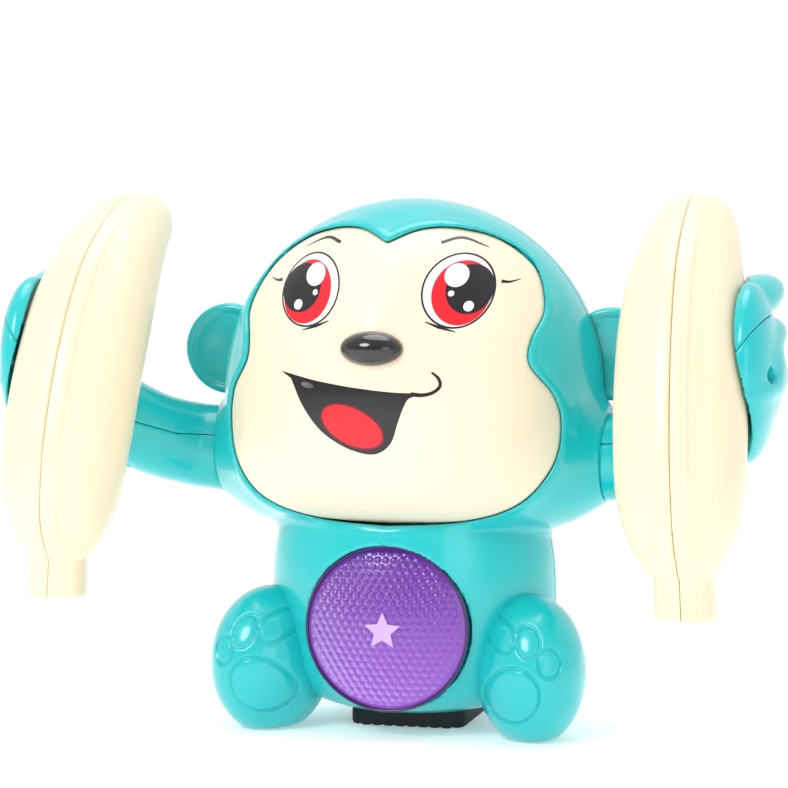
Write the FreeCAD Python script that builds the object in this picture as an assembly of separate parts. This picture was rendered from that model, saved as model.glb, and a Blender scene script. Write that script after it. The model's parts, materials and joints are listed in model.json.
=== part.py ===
"""Tumbling monkey toy: a battery-driven plastic monkey whose arms, each holding a banana, turn on one shaft
through the shoulders, so that the toy rolls over head first.

Millimetres. +X is across the shoulders, the face looks along -Y, +Z is up, and z = 0 is the ground.
The arm shaft runs along X at y = 0, z = SHAFT_Z. The casing is parted on the plane y = 0.
Each function makes one sub-part, and main() writes one STEP file for each.
"""
import FreeCAD
import Part
import math
import os

V = FreeCAD.Vector

# ---- driving dimensions -------------------------------------------------------------------------------
SHAFT_Z = 78.0
SHAFT_R = 2.5
SHAFT_HALF = 64.0
RUNNING = 0.05            # radial clearance of everything that turns
WALL = 2.0                # casing wall

HEAD_Z = 97.0             # height of the widest part of the head
HEAD_HALF_WIDTH = 54.8
HEAD_RISE = 54.0          # from there to the crown
HEAD_DROP = 40.0          # from there to the chin
HEAD_FRONT = 50.5
HEAD_BACK = 48.0
CHIN_POWER = 5.0          # squareness of the lower half of the head

TORSO_Z = 33.0
TORSO_HALF_WIDTH = 41.5
TORSO_RISE = 45.0         # the top of the torso is hidden inside the head
TORSO_DROP = 29.0
TORSO_FRONT = 36.0
TORSO_BACK = 33.0
TORSO_POWER = 3.0

BOSS_END = 55.4           # outer face of the shoulder boss
BOSS_R = 12.7
ARM_START = 56.4          # inner face of the arm, 1 mm outside the boss

FOOT_CENTRE = V(38.0, -17.0, 19.0)
FOOT_RADII = V(15.5, 20.5, 21.5)
FOOT_TURN = 20.0          # soles turned outwards, degrees

LENS_Z = 31.4
LENS_R = 22.8
LENS_RING_R = 23.6
LENS_FRONT = -36.6
LENS_RISE = 5.0           # how far the lens is domed

NOSE_Z = 110.5
EAR_CENTRE = V(57.0, 5.0, 107.0)
# Half of the ear's section from its back to its hollow front: radius, and distance behind its centre.
EAR_PROFILE = (
    (0.0, 4.0), (6.0, 3.6), (10.0, 2.6), (12.6, 0.9), (13.3, -0.8), (12.8, -2.2), (11.8, -2.6), (10.6, -1.9),
    (8.0, -0.6), (4.0, 0.1), (0.0, 0.3),
)
EAR_STUD_R = 2.5
NOSE_STUD_R = 2.0
FACE_SINK = 0.6           # how far the face lies below the hood
FACE_GAP = 0.4            # between the face's edge and the hood

CELL_R = 7.25             # AA cell
CELL_LENGTH = 50.5
CELL_PITCH = 14.8
CELL_Y = 3.8
BOX_BOTTOM = 13.7
BOX_TOP = 61.2
BOX_HALF = 30.5
BOX_FRONT = -5.4
BOX_WALL = 1.4
LEAF_THICKNESS = 0.35
DOOR_HALF = 26.2
DOOR_BOTTOM = 17.3
DOOR_TOP = 56.7
DOOR_GAP = 0.3
DOOR_SCREW_Z = 21.5

PRESSURE_ANGLE = 25.0
GEAR_THINNING = 0.10      # taken off each tooth's thickness, for backlash
MOTOR_TEETH = 10
FIRST_TEETH = 40
FIRST_PINION_TEETH = 10
SECOND_TEETH = 36
SECOND_PINION_TEETH = 10
OUTPUT_TEETH = 30
MOTOR_MODULE = 0.5
FIRST_MODULE = 0.6
OUTPUT_MODULE = 0.75
SPINDLE_R = 1.0

GEARBOX_HALF = 13.0
GEARBOX_WALL = 1.6
GEARBOX_Y = (-26.5, 14.1)
GEARBOX_Z = (63.9, 111.0)

MOTOR_R = 10.0
MOTOR_FLAT = 7.5
MOTOR_LENGTH = 25.0

BANANA_WALL = 1.8
BANANA_PIN = (-46.0, 105.0)   # where the hand's screw enters the banana: y and z
ARM_WALL = 1.8
ARM_SCREW_R = 1.0

# Half of the hood's heart-shaped opening, from the notch between the lobes down to the chin: x and z.
HEART_HALF = (
    (0.0, 139.0), (8.0, 142.6), (17.0, 143.0), (28.0, 140.0), (38.0, 132.5), (42.6, 121.0), (40.5, 112.5),
    (40.5, 106.0), (46.0, 97.5), (47.8, 88.5), (45.6, 77.0), (37.0, 67.0), (22.0, 61.8), (0.0, 60.4),
)
HEART_MID_Z = 100.0

# Banana centreline: y, z and radius. x leans evenly from the stem to the tip.
BANANA_STEM_X = 87.8
BANANA_TIP_X = 82.3
BANANA_SECTIONS = (
    (-57.0, 41.4, 8.3),
    (-57.3, 55.0, 8.3),
    (-57.5, 63.5, 13.2),
    (-57.2, 73.0, 16.6),
    (-53.5, 87.0, 17.6),
    (-47.5, 103.0, 17.6),
    (-39.0, 118.0, 17.0),
    (-29.0, 129.0, 15.2),
    (-15.0, 139.0, 12.4),
    (-3.0, 143.2, 9.6),
    (5.0, 144.6, 5.5),
)
# Arm centreline from the shoulder to the hand: x, y, z and radius.
ARM_SECTIONS = (
    (56.4, 0.0, 78.0, 12.5),
    (66.0, -3.0, 79.3, 12.2),
    (76.0, -11.0, 83.0, 12.0),
    (86.0, -19.5, 90.0, 11.8),
    (96.0, -27.0, 98.5, 10.8),
    (103.0, -36.0, 106.5, 7.0),
)
ARM_STEPS = 9
# The arm's parting line: x and z.
SEAM = ((50.0, 82.0), (66.0, 83.5), (76.0, 87.5), (86.0, 95.5), (97.0, 107.5), (104.0, 117.0), (114.0, 129.0))
PALM_CENTRE = V(101.3, -38.0, 107.0)
PALM_RADII = V(9.4, 18.0, 25.0)
FINGER_HEIGHTS = (124.5, 113.5, 102.0)
FINGER_RADII = V(6.6, 15.0, 5.8)
FINGER_BACK = 8.0         # how far behind the banana's middle a finger's middle lies
FINGER_TURN = -14.0
ARM_SCREWS = ((71.0, -6.0), (83.0, -17.5))
CASE_SCREWS = ((45.0, 118.0), (34.6, 24.0))
GEARBOX_CORNERS = ((-23.4, 67.0), (11.0, 67.0), (-23.4, 107.9), (11.0, 107.9))
MOUNT_HEIGHTS = (75.0, 98.0)
MOUNT_X = 22.0

SPEAKER_Z = 98.0
SPEAKER_R = 14.0
SPEAKER_BACK = 42.6
SWITCH_Z = 76.0

SCREW_R = 1.1             # casing screws, and their holes
COUNTERBORE_R = 2.6
COLUMN_R = 3.2
BUSH_R = 5.0
HUB_R = 5.5
HUB_FLANGE_R = 8.0
SPLIT_SIZE = 200.0        # larger than the toy, for cutting it in two
OUTSIDE = 60.0            # clear of the body, for cuts that run right out of it


# ---- helpers ------------------------------------------------------------------------------------------
def box(x0, x1, y0, y1, z0, z1):
    return Part.makeBox(x1 - x0, y1 - y0, z1 - z0, V(x0, y0, z0))


def rod_x(x0, x1, radius, y, z):
    return Part.makeCylinder(radius, x1 - x0, V(x0, y, z), V(1, 0, 0))


def rod_y(y0, y1, radius, x, z):
    return Part.makeCylinder(radius, y1 - y0, V(x, y0, z), V(0, 1, 0))


def rod_z(z0, z1, radius, x, y):
    return Part.makeCylinder(radius, z1 - z0, V(x, y, z0), V(0, 0, 1))


def mirrored(shape):
    """The same piece on the other side of the toy."""
    return shape.mirror(V(0, 0, 0), V(1, 0, 0))


def both_sides(shape):
    return [shape, mirrored(shape)]


def fused(shapes):
    result = shapes[0]
    for shape in shapes[1:]:
        result = result.fuse(shape)
    return result


def biggest(shape):
    """The largest solid of a shape, which drops any sliver that a cut leaves."""
    return max(shape.Solids, key=lambda solid: solid.Volume)


def cut_all(shape, cuts):
    for cut in cuts:
        shape = shape.cut(cut)
    return shape


def ellipsoid(centre, radii, turn=0.0):
    """A sphere stretched to three radii, then turned about the vertical."""
    matrix = FreeCAD.Matrix()
    matrix.scale(radii.x, radii.y, radii.z)
    shape = Part.makeSphere(1.0).transformGeometry(matrix)
    shape.rotate(V(0, 0, 0), V(0, 0, 1), turn)
    shape.translate(centre)
    return shape


def super_radius(angle, width, height, power):
    """Distance from the centre to a superellipse, at an angle from its top."""
    side = (abs(math.sin(angle)) / width) ** power
    top = (abs(math.cos(angle)) / height) ** power
    return (side + top) ** (-1.0 / power)


def turned_body(centre_z, width, rise, drop, powers, depth):
    """A round body with a superellipse outline, squeezed front to back to the given depth."""
    points = []
    for step in range(25):
        angle = math.pi * step / 24
        height, power = (rise, powers[0]) if step < 12 else (drop, powers[1])
        reach = super_radius(angle, width, height, power)
        points.append(V(reach * math.sin(angle), 0, centre_z + reach * math.cos(angle)))
    points[0] = V(0, 0, centre_z + rise)
    points[-1] = V(0, 0, centre_z - drop)
    outline = Part.BSplineCurve()
    outline.interpolate(Points=points, InitialTangent=V(1, 0, 0), FinalTangent=V(-1, 0, 0))
    axis = Part.LineSegment(points[-1], points[0])
    face = Part.Face(Part.Wire([outline.toShape(), axis.toShape()]))
    body = face.revolve(V(0, 0, 0), V(0, 0, 1), 360)
    matrix = FreeCAD.Matrix()
    matrix.scale(1.0, depth / width, 1.0)
    return body.transformGeometry(matrix)


def export(name, shape):
    """Writes one sub-part. A list of solids becomes one group."""
    if isinstance(shape, list):
        shape = Part.makeCompound(shape)
    shape.exportStep(os.path.join("parts", name + ".step"))


def screw(tip, head, shank_r, head_r, head_height):
    """A plain screw from its tip to the underside of its head."""
    axis = (head - tip).normalize()
    shank = Part.makeCylinder(shank_r, (head - tip).Length, tip, axis)
    cap = Part.makeCylinder(head_r, head_height, head, axis)
    slot = Part.makeBox(head_r * 1.3, 0.5, 0.8, V(-head_r * 0.65, -0.25, head_height - 0.5))
    cross = slot.fuse(slot.rotated(V(0, 0, 0), V(0, 0, 1), 90))
    cross.Placement = FreeCAD.Placement(head, FreeCAD.Rotation(V(0, 0, 1), axis))
    return shank.fuse(cap).cut(cross)


# ---- casing -------------------------------------------------------------------------------------------
def head_body(inset, depth):
    powers = (2.0, CHIN_POWER)
    return turned_body(
        HEAD_Z, HEAD_HALF_WIDTH - inset, HEAD_RISE - inset, HEAD_DROP - inset, powers, depth - inset)


def torso_body(inset, depth):
    powers = (TORSO_POWER, TORSO_POWER)
    return turned_body(
        TORSO_Z, TORSO_HALF_WIDTH - inset, TORSO_RISE - inset, TORSO_DROP - inset, powers, depth - inset)


def shoulder(inset):
    """The boss on each side that the arm turns against, as one bar through the body."""
    end = BOSS_END - inset
    cone = Part.makeCone(18.0 - inset, BOSS_R - inset, end - 42.0, V(42.0, 0, SHAFT_Z), V(1, 0, 0))
    bar = rod_x(0, 42.0, 18.0 - inset, 0, SHAFT_Z)
    side = cone.fuse(bar)
    return side.fuse(mirrored(side))


def feet(inset):
    radii = FOOT_RADII - V(inset, inset, inset)
    foot = ellipsoid(FOOT_CENTRE, radii, FOOT_TURN)
    foot = foot.common(box(0, 90, -90, 40, inset, 90))
    return foot.fuse(mirrored(foot))


def front_half_space():
    return box(-SPLIT_SIZE, SPLIT_SIZE, -SPLIT_SIZE, 0, -50, SPLIT_SIZE)


def back_half_space():
    return box(-SPLIT_SIZE, SPLIT_SIZE, 0, SPLIT_SIZE, -50, SPLIT_SIZE)


def front_solid(inset):
    shapes = [head_body(inset, HEAD_FRONT), torso_body(inset, TORSO_FRONT), shoulder(inset), feet(inset)]
    return fused(shapes).common(front_half_space())


def back_solid(inset):
    """The feet reach a little behind the parting plane, so the back half carries their heels."""
    shapes = [head_body(inset, HEAD_BACK), torso_body(inset, TORSO_BACK), shoulder(inset), feet(inset)]
    return fused(shapes).common(back_half_space())


def heart_outline(inset):
    """Two lobes over the eyes, a pinch, and the wide muzzle, drawn in by inset."""
    points = []
    for x, z in HEART_HALF:
        length = math.hypot(x, z - HEART_MID_Z)
        points.append(V(x * (1 - inset / length), -80.0, z - inset * (z - HEART_MID_Z) / length))
    return points


def heart_prism(inset, front, back):
    """The hood's opening as a straight bar along y."""
    points = heart_outline(inset)
    first_past_middle = V(-points[-2].x, points[-2].y, points[-2].z)
    right = Part.BSplineCurve()
    right.interpolate(Points=points + [first_past_middle])
    right.segment(right.parameter(points[0]), right.parameter(points[-1]))
    right_edge = right.toShape()
    left_edge = mirrored(right_edge)
    face = Part.Face(Part.Wire(Part.__sortEdges__([right_edge, left_edge])))
    bar = face.extrude(V(0, back - front, 0))
    bar.translate(V(0, front + 80.0, 0))
    return bar


def case_columns(casing_half, start, end):
    """Screw columns through the casing, trimmed to the outside of one half."""
    columns = []
    for x, z in CASE_SCREWS:
        columns += both_sides(rod_y(start, end, COLUMN_R, x, z))
    return [column.common(casing_half) for column in columns]


def screw_seat_y(z):
    """How far behind the parting plane a casing screw's head sits."""
    return 15.0 if z > SHAFT_Z else 12.0


def case_screw_holes():
    holes = []
    for x, z in CASE_SCREWS:
        seat = screw_seat_y(z)
        holes += both_sides(rod_y(-9.0, seat, SCREW_R, x, z))
        holes += both_sides(rod_y(seat, OUTSIDE, COUNTERBORE_R, x, z))
    return holes


def front_shell():
    outer = front_solid(0.0)
    shell = outer.cut(front_solid(WALL))
    collar = rod_y(-45.0, -24.0, LENS_RING_R + WALL, 0, LENS_Z).common(outer)
    shell = fused([shell, collar] + case_columns(outer, -11.0, 0.0))
    cuts = [rod_y(-OUTSIDE, -20.0, LENS_RING_R, 0, LENS_Z), heart_prism(0.0, -80.0, -12.0)]
    cuts += both_sides(rod_x(50.0, OUTSIDE, BUSH_R, 0, SHAFT_Z))
    shell = cut_all(shell, cuts + case_screw_holes())
    return biggest(shell).cut(base_pad_block(0.0))


def back_columns(outer):
    """Screw columns for the casing and for the gearbox."""
    columns = case_columns(outer, 0.0, OUTSIDE)
    for z in MOUNT_HEIGHTS:
        columns += [c.common(outer) for c in both_sides(rod_y(GEARBOX_Y[1], OUTSIDE, 3.0, MOUNT_X, z))]
    return columns


def back_fittings(outer):
    """The collar that holds the speaker and the rails that hold the switch."""
    bore = rod_y(30.0, OUTSIDE, SPEAKER_R, 0, SPEAKER_Z)
    collar = rod_y(38.0, OUTSIDE, SPEAKER_R + 1.6, 0, SPEAKER_Z).cut(bore)
    rails = both_sides(box(-8.0, -6.5, 37.5, OUTSIDE, SWITCH_Z - 3.0, SWITCH_Z + 3.0))
    return [fitting.common(outer) for fitting in [collar] + rails]


def back_openings():
    """The battery door's opening, the switch slot, the grille and every hole."""
    gap = DOOR_HALF + DOOR_GAP
    cuts = both_sides(rod_x(50.0, OUTSIDE, BUSH_R, 0, SHAFT_Z)) + case_screw_holes()
    for z in MOUNT_HEIGHTS:
        cuts += both_sides(rod_y(GEARBOX_Y[1], GEARBOX_Y[1] + 9.0, SCREW_R, MOUNT_X, z))
    cuts.append(box(-gap, gap, 10.0, OUTSIDE, DOOR_BOTTOM - DOOR_GAP, DOOR_TOP + DOOR_GAP))
    cuts.append(box(-5.4, 5.4, 40.0, OUTSIDE, SWITCH_Z - 1.6, SWITCH_Z + 1.6))
    cuts += speaker_grille()
    return cuts + both_sides(rod_x(40.0, OUTSIDE, EAR_STUD_R, EAR_CENTRE.y, EAR_CENTRE.z))


def back_shell():
    outer = back_solid(0.0)
    shell = outer.cut(back_solid(WALL))
    shell = fused([shell] + back_columns(outer) + back_fittings(outer))
    return biggest(cut_all(shell, back_openings())).cut(base_pad_block(0.0))


def speaker_grille():
    """A hexagon of round holes."""
    holes = []
    pitch = 4.0
    row_pitch = pitch * math.sqrt(3) / 2
    for row in range(-2, 3):
        count = 5 - abs(row)
        for i in range(count):
            x = (i - (count - 1) / 2) * pitch
            holes.append(rod_y(43.0, OUTSIDE, 1.0, x, SPEAKER_Z + row * row_pitch))
    return holes


def face_plate():
    """The cream face, set a little below the hood."""
    block = head_body(FACE_SINK, HEAD_FRONT).common(front_half_space())
    block = block.common(heart_prism(FACE_GAP, -80.0, -13.0))
    room = head_body(FACE_SINK + WALL, HEAD_FRONT).common(box(-60.0, 60.0, -60.0, -10.0, 50.0, 160.0))
    return biggest(block.cut(room)).cut(rod_y(-60.0, -30.0, NOSE_STUD_R, 0, NOSE_Z))


def nose():
    """A glossy oval with a stud through the face plate."""
    ball = ellipsoid(V(0, -48.4, NOSE_Z), V(8.75, 5.4, 4.8))
    plate_space = head_body(FACE_SINK, HEAD_FRONT)
    stud = rod_y(-50.5, -45.5, NOSE_STUD_R, 0, NOSE_Z)
    return ball.cut(plate_space).fuse(stud)


def ear_half_disc(turn):
    """Half of a shallow cup facing forwards, the half on one side of its upright middle line."""
    points = [V(0, y, radius) for radius, y in EAR_PROFILE]
    outline = Part.BSplineCurve()
    outline.interpolate(Points=points, InitialTangent=V(0, 0, 1), FinalTangent=V(0, 0, -1))
    axis = Part.LineSegment(points[-1], points[0])
    disc = Part.Face(Part.Wire([outline.toShape(), axis.toShape()])).revolve(V(0, 0, 0), V(0, 1, 0), turn)
    disc.translate(EAR_CENTRE)
    return disc


def ear():
    """The ear, cut to fit round the side of the head, with a stud into the casing."""
    head_side = Part.makeSphere(HEAD_HALF_WIDTH + RUNNING, V(0, 0, HEAD_Z))
    head_side.rotate(V(0, 0, HEAD_Z), V(0, 0, 1), 180)
    inner = ear_half_disc(-180).cut(head_side)
    stud = rod_x(47.5, 57.0, EAR_STUD_R, EAR_CENTRE.y, EAR_CENTRE.z)
    stud = stud.common(box(0, 90, 3.0, 20, 0, 200))
    return biggest(ear_half_disc(180).fuse(inner).fuse(stud))


def base_pad_block(inset):
    block = box(-17.0 + inset, 17.0 - inset, -12.0 + inset, 24.0 - inset, 0.0, 5.2)
    vertical = [e for e in block.Edges if abs(e.tangentAt(e.FirstParameter).z) > 0.9]
    return block.makeFillet(6.0, vertical)


def base_pad():
    """The black foot under the body. Its underside carries the toy's origin."""
    return base_pad_block(0.05)


# ---- belly light --------------------------------------------------------------------------------------
def lens_sphere(inset):
    radius = (LENS_R ** 2 + LENS_RISE ** 2) / (2 * LENS_RISE)
    return Part.makeSphere(radius - inset, V(0, LENS_FRONT + radius, LENS_Z))


def belly_lens():
    rod = rod_y(LENS_FRONT - 1.0, LENS_FRONT + LENS_RISE + 1.5, LENS_R - 0.05, 0, LENS_Z)
    return biggest(rod.common(lens_sphere(0.0)).cut(lens_sphere(1.8)))


def lens_ring():
    back = LENS_FRONT + LENS_RISE + 3.6
    ring = rod_y(LENS_FRONT + LENS_RISE - 0.6, back, LENS_RING_R - 0.05, 0, LENS_Z)
    ring = ring.cut(rod_y(-60.0, back - 1.2, LENS_R, 0, LENS_Z))
    return ring.cut(rod_y(-60.0, 0.0, LENS_R - 2.0, 0, LENS_Z))


def light_reflector():
    """A cone behind the lens that throws the light forwards."""
    depth = 8.0
    start = LENS_FRONT + LENS_RISE + 3.8
    outer = Part.makeCone(LENS_R - 2.0, 10.0, depth, V(0, start, LENS_Z), V(0, 1, 0))
    inner = Part.makeCone(LENS_R - 3.2, 8.8, depth, V(0, start, LENS_Z), V(0, 1, 0))
    return outer.cut(inner)


def led_places():
    """Three lights in a triangle: x and z of each."""
    reach = 5.2
    turns = [math.radians(turn) for turn in (90, 210, 330)]
    return [(reach * math.cos(turn), LENS_Z + reach * math.sin(turn)) for turn in turns]


def led_board():
    board = rod_y(-19.6, -18.2, 15.0, 0, LENS_Z)
    for x, z in led_places():
        board = board.cut(rod_y(-20.0, -18.0, 0.8, x, z))
    return board


def leds():
    made = []
    for x, z in led_places():
        body = rod_y(-23.0, -19.7, 2.4, x, z).fuse(Part.makeSphere(2.4, V(x, -23.0, z)))
        made.append(body.fuse(rod_y(-19.8, -18.2, 0.7, x, z)))
    return made


def main_board():
    board = box(-21.0, 21.0, -12.0, -10.4, 20.0, 50.0)
    for x in (-17.0, 17.0):
        board = board.cut(rod_y(-13.0, -9.0, 1.2, x, 24.0))
    return board


def board_parts():
    """The sealed chip, two capacitors and the wire pads' block on the main board."""
    chip = rod_y(-14.0, -12.0, 4.5, 0, 38.0)
    caps = [rod_y(-16.5, -12.0, 2.5, x, 28.0) for x in (-10.0, 10.0)]
    return [chip] + caps + [box(-9.0, 9.0, -14.5, -12.0, 44.5, 47.5)]


# ---- batteries ----------------------------------------------------------------------------------------
def cell_heights():
    middle = (BOX_BOTTOM + BOX_TOP) / 2
    return [middle + i * CELL_PITCH for i in (-1, 0, 1)]


def cavity(gap):
    return back_solid(WALL + gap).fuse(front_solid(WALL + gap))


def battery_box():
    """A tray open to the back, whose walls run out to the inside of the casing."""
    outer = box(-BOX_HALF, BOX_HALF, BOX_FRONT, 50.0, BOX_BOTTOM, BOX_TOP)
    wall = BOX_WALL
    inner = box(-BOX_HALF + wall, BOX_HALF - wall, BOX_FRONT + wall, 60.0, BOX_BOTTOM + wall, BOX_TOP - wall)
    inside = cavity(0.2)
    tray = outer.cut(inner).common(inside)
    strut = box(-3.0, 3.0, 13.2, 24.0, BOX_BOTTOM + wall - 0.5, DOOR_SCREW_Z - 1.0)
    column = rod_y(13.2, 24.0, 3.0, 0, DOOR_SCREW_Z)
    tray = tray.fuse(strut.fuse(column).common(inside))
    for z in (cell_heights()[0] + CELL_PITCH / 2, cell_heights()[1] + CELL_PITCH / 2):
        cradle = box(-18.0, 18.0, BOX_FRONT + wall - 0.2, BOX_FRONT + wall + 1.6, z - 0.8, z + 0.8)
        tray = tray.fuse(cradle)
    return biggest(tray.cut(rod_y(13.0, 25.0, 1.2, 0, DOOR_SCREW_Z)))


def battery_cells():
    """Three cells, each turned the other way from its neighbour, with the cap at one end."""
    cells = []
    for i, z in enumerate(cell_heights()):
        can = rod_x(-CELL_LENGTH / 2, CELL_LENGTH / 2 - 1.0, CELL_R, CELL_Y, z)
        cell = can.fuse(rod_x(CELL_LENGTH / 2 - 1.0, CELL_LENGTH / 2, 2.75, CELL_Y, z))
        cells.append(cell if i % 2 == 0 else mirrored(cell))
    return cells


def battery_contacts():
    """A plate at each end of each cell, flat against the tray's end walls."""
    plates = []
    face = BOX_HALF - BOX_WALL
    for z in cell_heights():
        plates += both_sides(box(face - 0.5, face, CELL_Y - 5.0, CELL_Y + 5.0, z - 5.0, z + 5.0))
    return plates


def battery_springs():
    """One bowed leaf on each cell's flat end."""
    start = CELL_LENGTH / 2 + 0.1
    wall = BOX_HALF - BOX_WALL - 0.5
    bow = [(wall, -4.0), (start + 0.8, -1.6), (start, 0.0), (start + 0.8, 1.6), (wall, 4.0)]
    leaf = bow + [(min(x + LEAF_THICKNESS, wall), y * 0.8) for x, y in reversed(bow)]
    springs = []
    for i, z in enumerate(cell_heights()):
        outline = [V(x, CELL_Y + y, z - 2.0) for x, y in leaf]
        spring = Part.Face(Part.makePolygon(outline + outline[:1])).extrude(V(0, 0, 4.0))
        springs.append(mirrored(spring) if i % 2 == 0 else spring)
    return springs


def battery_door():
    """The panel cut out of the back, with a column for its screw."""
    skin = back_solid(0.0).cut(back_solid(WALL))
    column = rod_y(24.3, 60.0, 3.0, 0, DOOR_SCREW_Z).common(back_solid(0.0))
    panel = skin.fuse(column).common(box(-DOOR_HALF, DOOR_HALF, 10.0, 60.0, DOOR_BOTTOM, DOOR_TOP))
    for cut in (rod_y(20.0, 60.0, 1.2, 0, DOOR_SCREW_Z), rod_y(27.4, 60.0, 2.6, 0, DOOR_SCREW_Z)):
        panel = panel.cut(cut)
    return biggest(panel)


def door_screw():
    return screw(V(0, 15.0, DOOR_SCREW_Z), V(0, 27.4, DOOR_SCREW_Z), 1.1, 2.2, 1.4)


# ---- switch and speaker -------------------------------------------------------------------------------
def power_switch_body():
    body = box(-6.5, 6.5, 38.0, 44.0, SWITCH_Z - 3.0, SWITCH_Z + 3.0)
    slot = box(-5.2, 5.2, 42.0, 45.0, SWITCH_Z - 1.4, SWITCH_Z + 1.4)
    legs = [box(x - 0.4, x + 0.4, 35.0, 38.0, SWITCH_Z - 0.3, SWITCH_Z + 0.3) for x in (-3.0, 0.0, 3.0)]
    return fused([body.cut(slot)] + legs)


def power_switch_knob():
    """A ribbed slider, from the middle of its slot 2.5 mm either way."""
    knob = box(-2.2, 2.2, 42.3, 49.4, SWITCH_Z - 1.2, SWITCH_Z + 1.2)
    for x in (-1.2, 0.0, 1.2):
        knob = knob.cut(box(x - 0.25, x + 0.25, 48.9, 50.0, SWITCH_Z - 2.0, SWITCH_Z + 2.0))
    return knob


def speaker_basket():
    back = SPEAKER_BACK
    rim = rod_y(back - 1.2, back, SPEAKER_R - 0.05, 0, SPEAKER_Z)
    rim = rim.cut(rod_y(back - 2, back + 1, 12.4, 0, SPEAKER_Z))
    outer = Part.makeCone(7.6, SPEAKER_R - 0.6, 5.0, V(0, back - 6.2, SPEAKER_Z), V(0, 1, 0))
    inner = Part.makeCone(6.8, SPEAKER_R - 1.4, 5.0, V(0, back - 6.2, SPEAKER_Z), V(0, 1, 0))
    return rim.fuse(outer.cut(inner))


def speaker_magnet():
    return rod_y(SPEAKER_BACK - 10.6, SPEAKER_BACK - 6.2, 7.6, 0, SPEAKER_Z)


def speaker_cone():
    start = SPEAKER_BACK - 4.4
    outer = Part.makeCone(3.5, 11.4, 3.4, V(0, start, SPEAKER_Z), V(0, 1, 0))
    inner = Part.makeCone(3.1, 11.0, 3.4, V(0, start, SPEAKER_Z), V(0, 1, 0))
    dome = rod_y(start, start + 0.6, 3.3, 0, SPEAKER_Z)
    return outer.cut(inner).fuse(dome)


# ---- gears --------------------------------------------------------------------------------------------
def involute(angle):
    return math.tan(angle) - angle


def gear_blank(teeth, module, phase, centre, x0, x1):
    """A spur gear along x. phase is the direction of one tooth's middle, in degrees from +y towards +z."""
    pitch_r = teeth * module / 2
    base_r = pitch_r * math.cos(math.radians(PRESSURE_ANGLE))
    tip_r = pitch_r + 0.8 * module
    root_r = pitch_r - 1.1 * module
    half_tooth = math.pi / (2 * teeth) - GEAR_THINNING / (2 * pitch_r)
    pitch_involute = involute(math.radians(PRESSURE_ANGLE))
    flank = []
    for step in range(4):
        radius = max(root_r, base_r) + (tip_r - max(root_r, base_r)) * step / 3
        flank.append((radius, half_tooth + pitch_involute - involute(math.acos(min(1.0, base_r / radius)))))
    flank.insert(0, (root_r, flank[0][1]))
    points = []
    for tooth in range(teeth):
        middle = math.radians(phase) + 2 * math.pi * tooth / teeth
        side = [(r, middle - a) for r, a in flank] + [(r, middle + a) for r, a in reversed(flank)]
        points += [V(x0, centre[0] + r * math.cos(a), centre[1] + r * math.sin(a)) for r, a in side]
    face = Part.Face(Part.makePolygon(points + points[:1]))
    return face.extrude(V(x1 - x0, 0, 0))


def step_from(centre, distance, direction):
    """A centre at a distance from another, in a direction in degrees from +y towards +z."""
    turn = math.radians(direction)
    return (centre[0] + distance * math.cos(turn), centre[1] + distance * math.sin(turn))


def gear_distance(teeth_a, teeth_b, module):
    return (teeth_a + teeth_b) * module / 2


OUTPUT_CENTRE = (0.0, SHAFT_Z)
SECOND_DIRECTION = 90.0
FIRST_DIRECTION = 180.0
PINION_DIRECTION = 90.0
OUTPUT_DISTANCE = gear_distance(OUTPUT_TEETH, SECOND_PINION_TEETH, OUTPUT_MODULE)
SECOND_CENTRE = step_from(OUTPUT_CENTRE, OUTPUT_DISTANCE, SECOND_DIRECTION)
SECOND_DISTANCE = gear_distance(SECOND_TEETH, FIRST_PINION_TEETH, FIRST_MODULE)
FIRST_CENTRE = step_from(SECOND_CENTRE, SECOND_DISTANCE, FIRST_DIRECTION)
FIRST_DISTANCE = gear_distance(FIRST_TEETH, MOTOR_TEETH, MOTOR_MODULE)
PINION_CENTRE = step_from(FIRST_CENTRE, FIRST_DISTANCE, PINION_DIRECTION)


def gap_phase(teeth, direction):
    """The phase that puts a gap between teeth opposite a direction."""
    return direction + 180.0 + 180.0 / teeth


def output_gear():
    gear = gear_blank(OUTPUT_TEETH, OUTPUT_MODULE, SECOND_DIRECTION, OUTPUT_CENTRE, -7.5, -2.5)
    hub = rod_x(-9.5, 1.0, 5.0, *OUTPUT_CENTRE)
    return gear.fuse(hub).cut(rod_x(-20.0, 20.0, SHAFT_R, *OUTPUT_CENTRE))


def second_gear():
    """The compound gear that drives the output gear."""
    phase = gap_phase(SECOND_PINION_TEETH, SECOND_DIRECTION)
    pinion = gear_blank(SECOND_PINION_TEETH, OUTPUT_MODULE, phase, SECOND_CENTRE, -8.5, 1.5)
    wheel = gear_blank(SECOND_TEETH, FIRST_MODULE, FIRST_DIRECTION, SECOND_CENTRE, 1.5, 5.0)
    hub = rod_x(-10.6, 10.6, 2.2, *SECOND_CENTRE)
    return fused([pinion, wheel, hub]).cut(rod_x(-20, 20, SPINDLE_R + RUNNING, *SECOND_CENTRE))


def first_gear():
    """The compound gear that the motor drives."""
    phase = gap_phase(FIRST_PINION_TEETH, FIRST_DIRECTION)
    pinion = gear_blank(FIRST_PINION_TEETH, FIRST_MODULE, phase, FIRST_CENTRE, 1.0, 7.0)
    wheel = gear_blank(FIRST_TEETH, MOTOR_MODULE, PINION_DIRECTION, FIRST_CENTRE, 7.0, 10.0)
    hub = rod_x(-10.6, 10.6, 1.9, *FIRST_CENTRE)
    return fused([pinion, wheel, hub]).cut(rod_x(-20, 20, SPINDLE_R + RUNNING, *FIRST_CENTRE))


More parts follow.
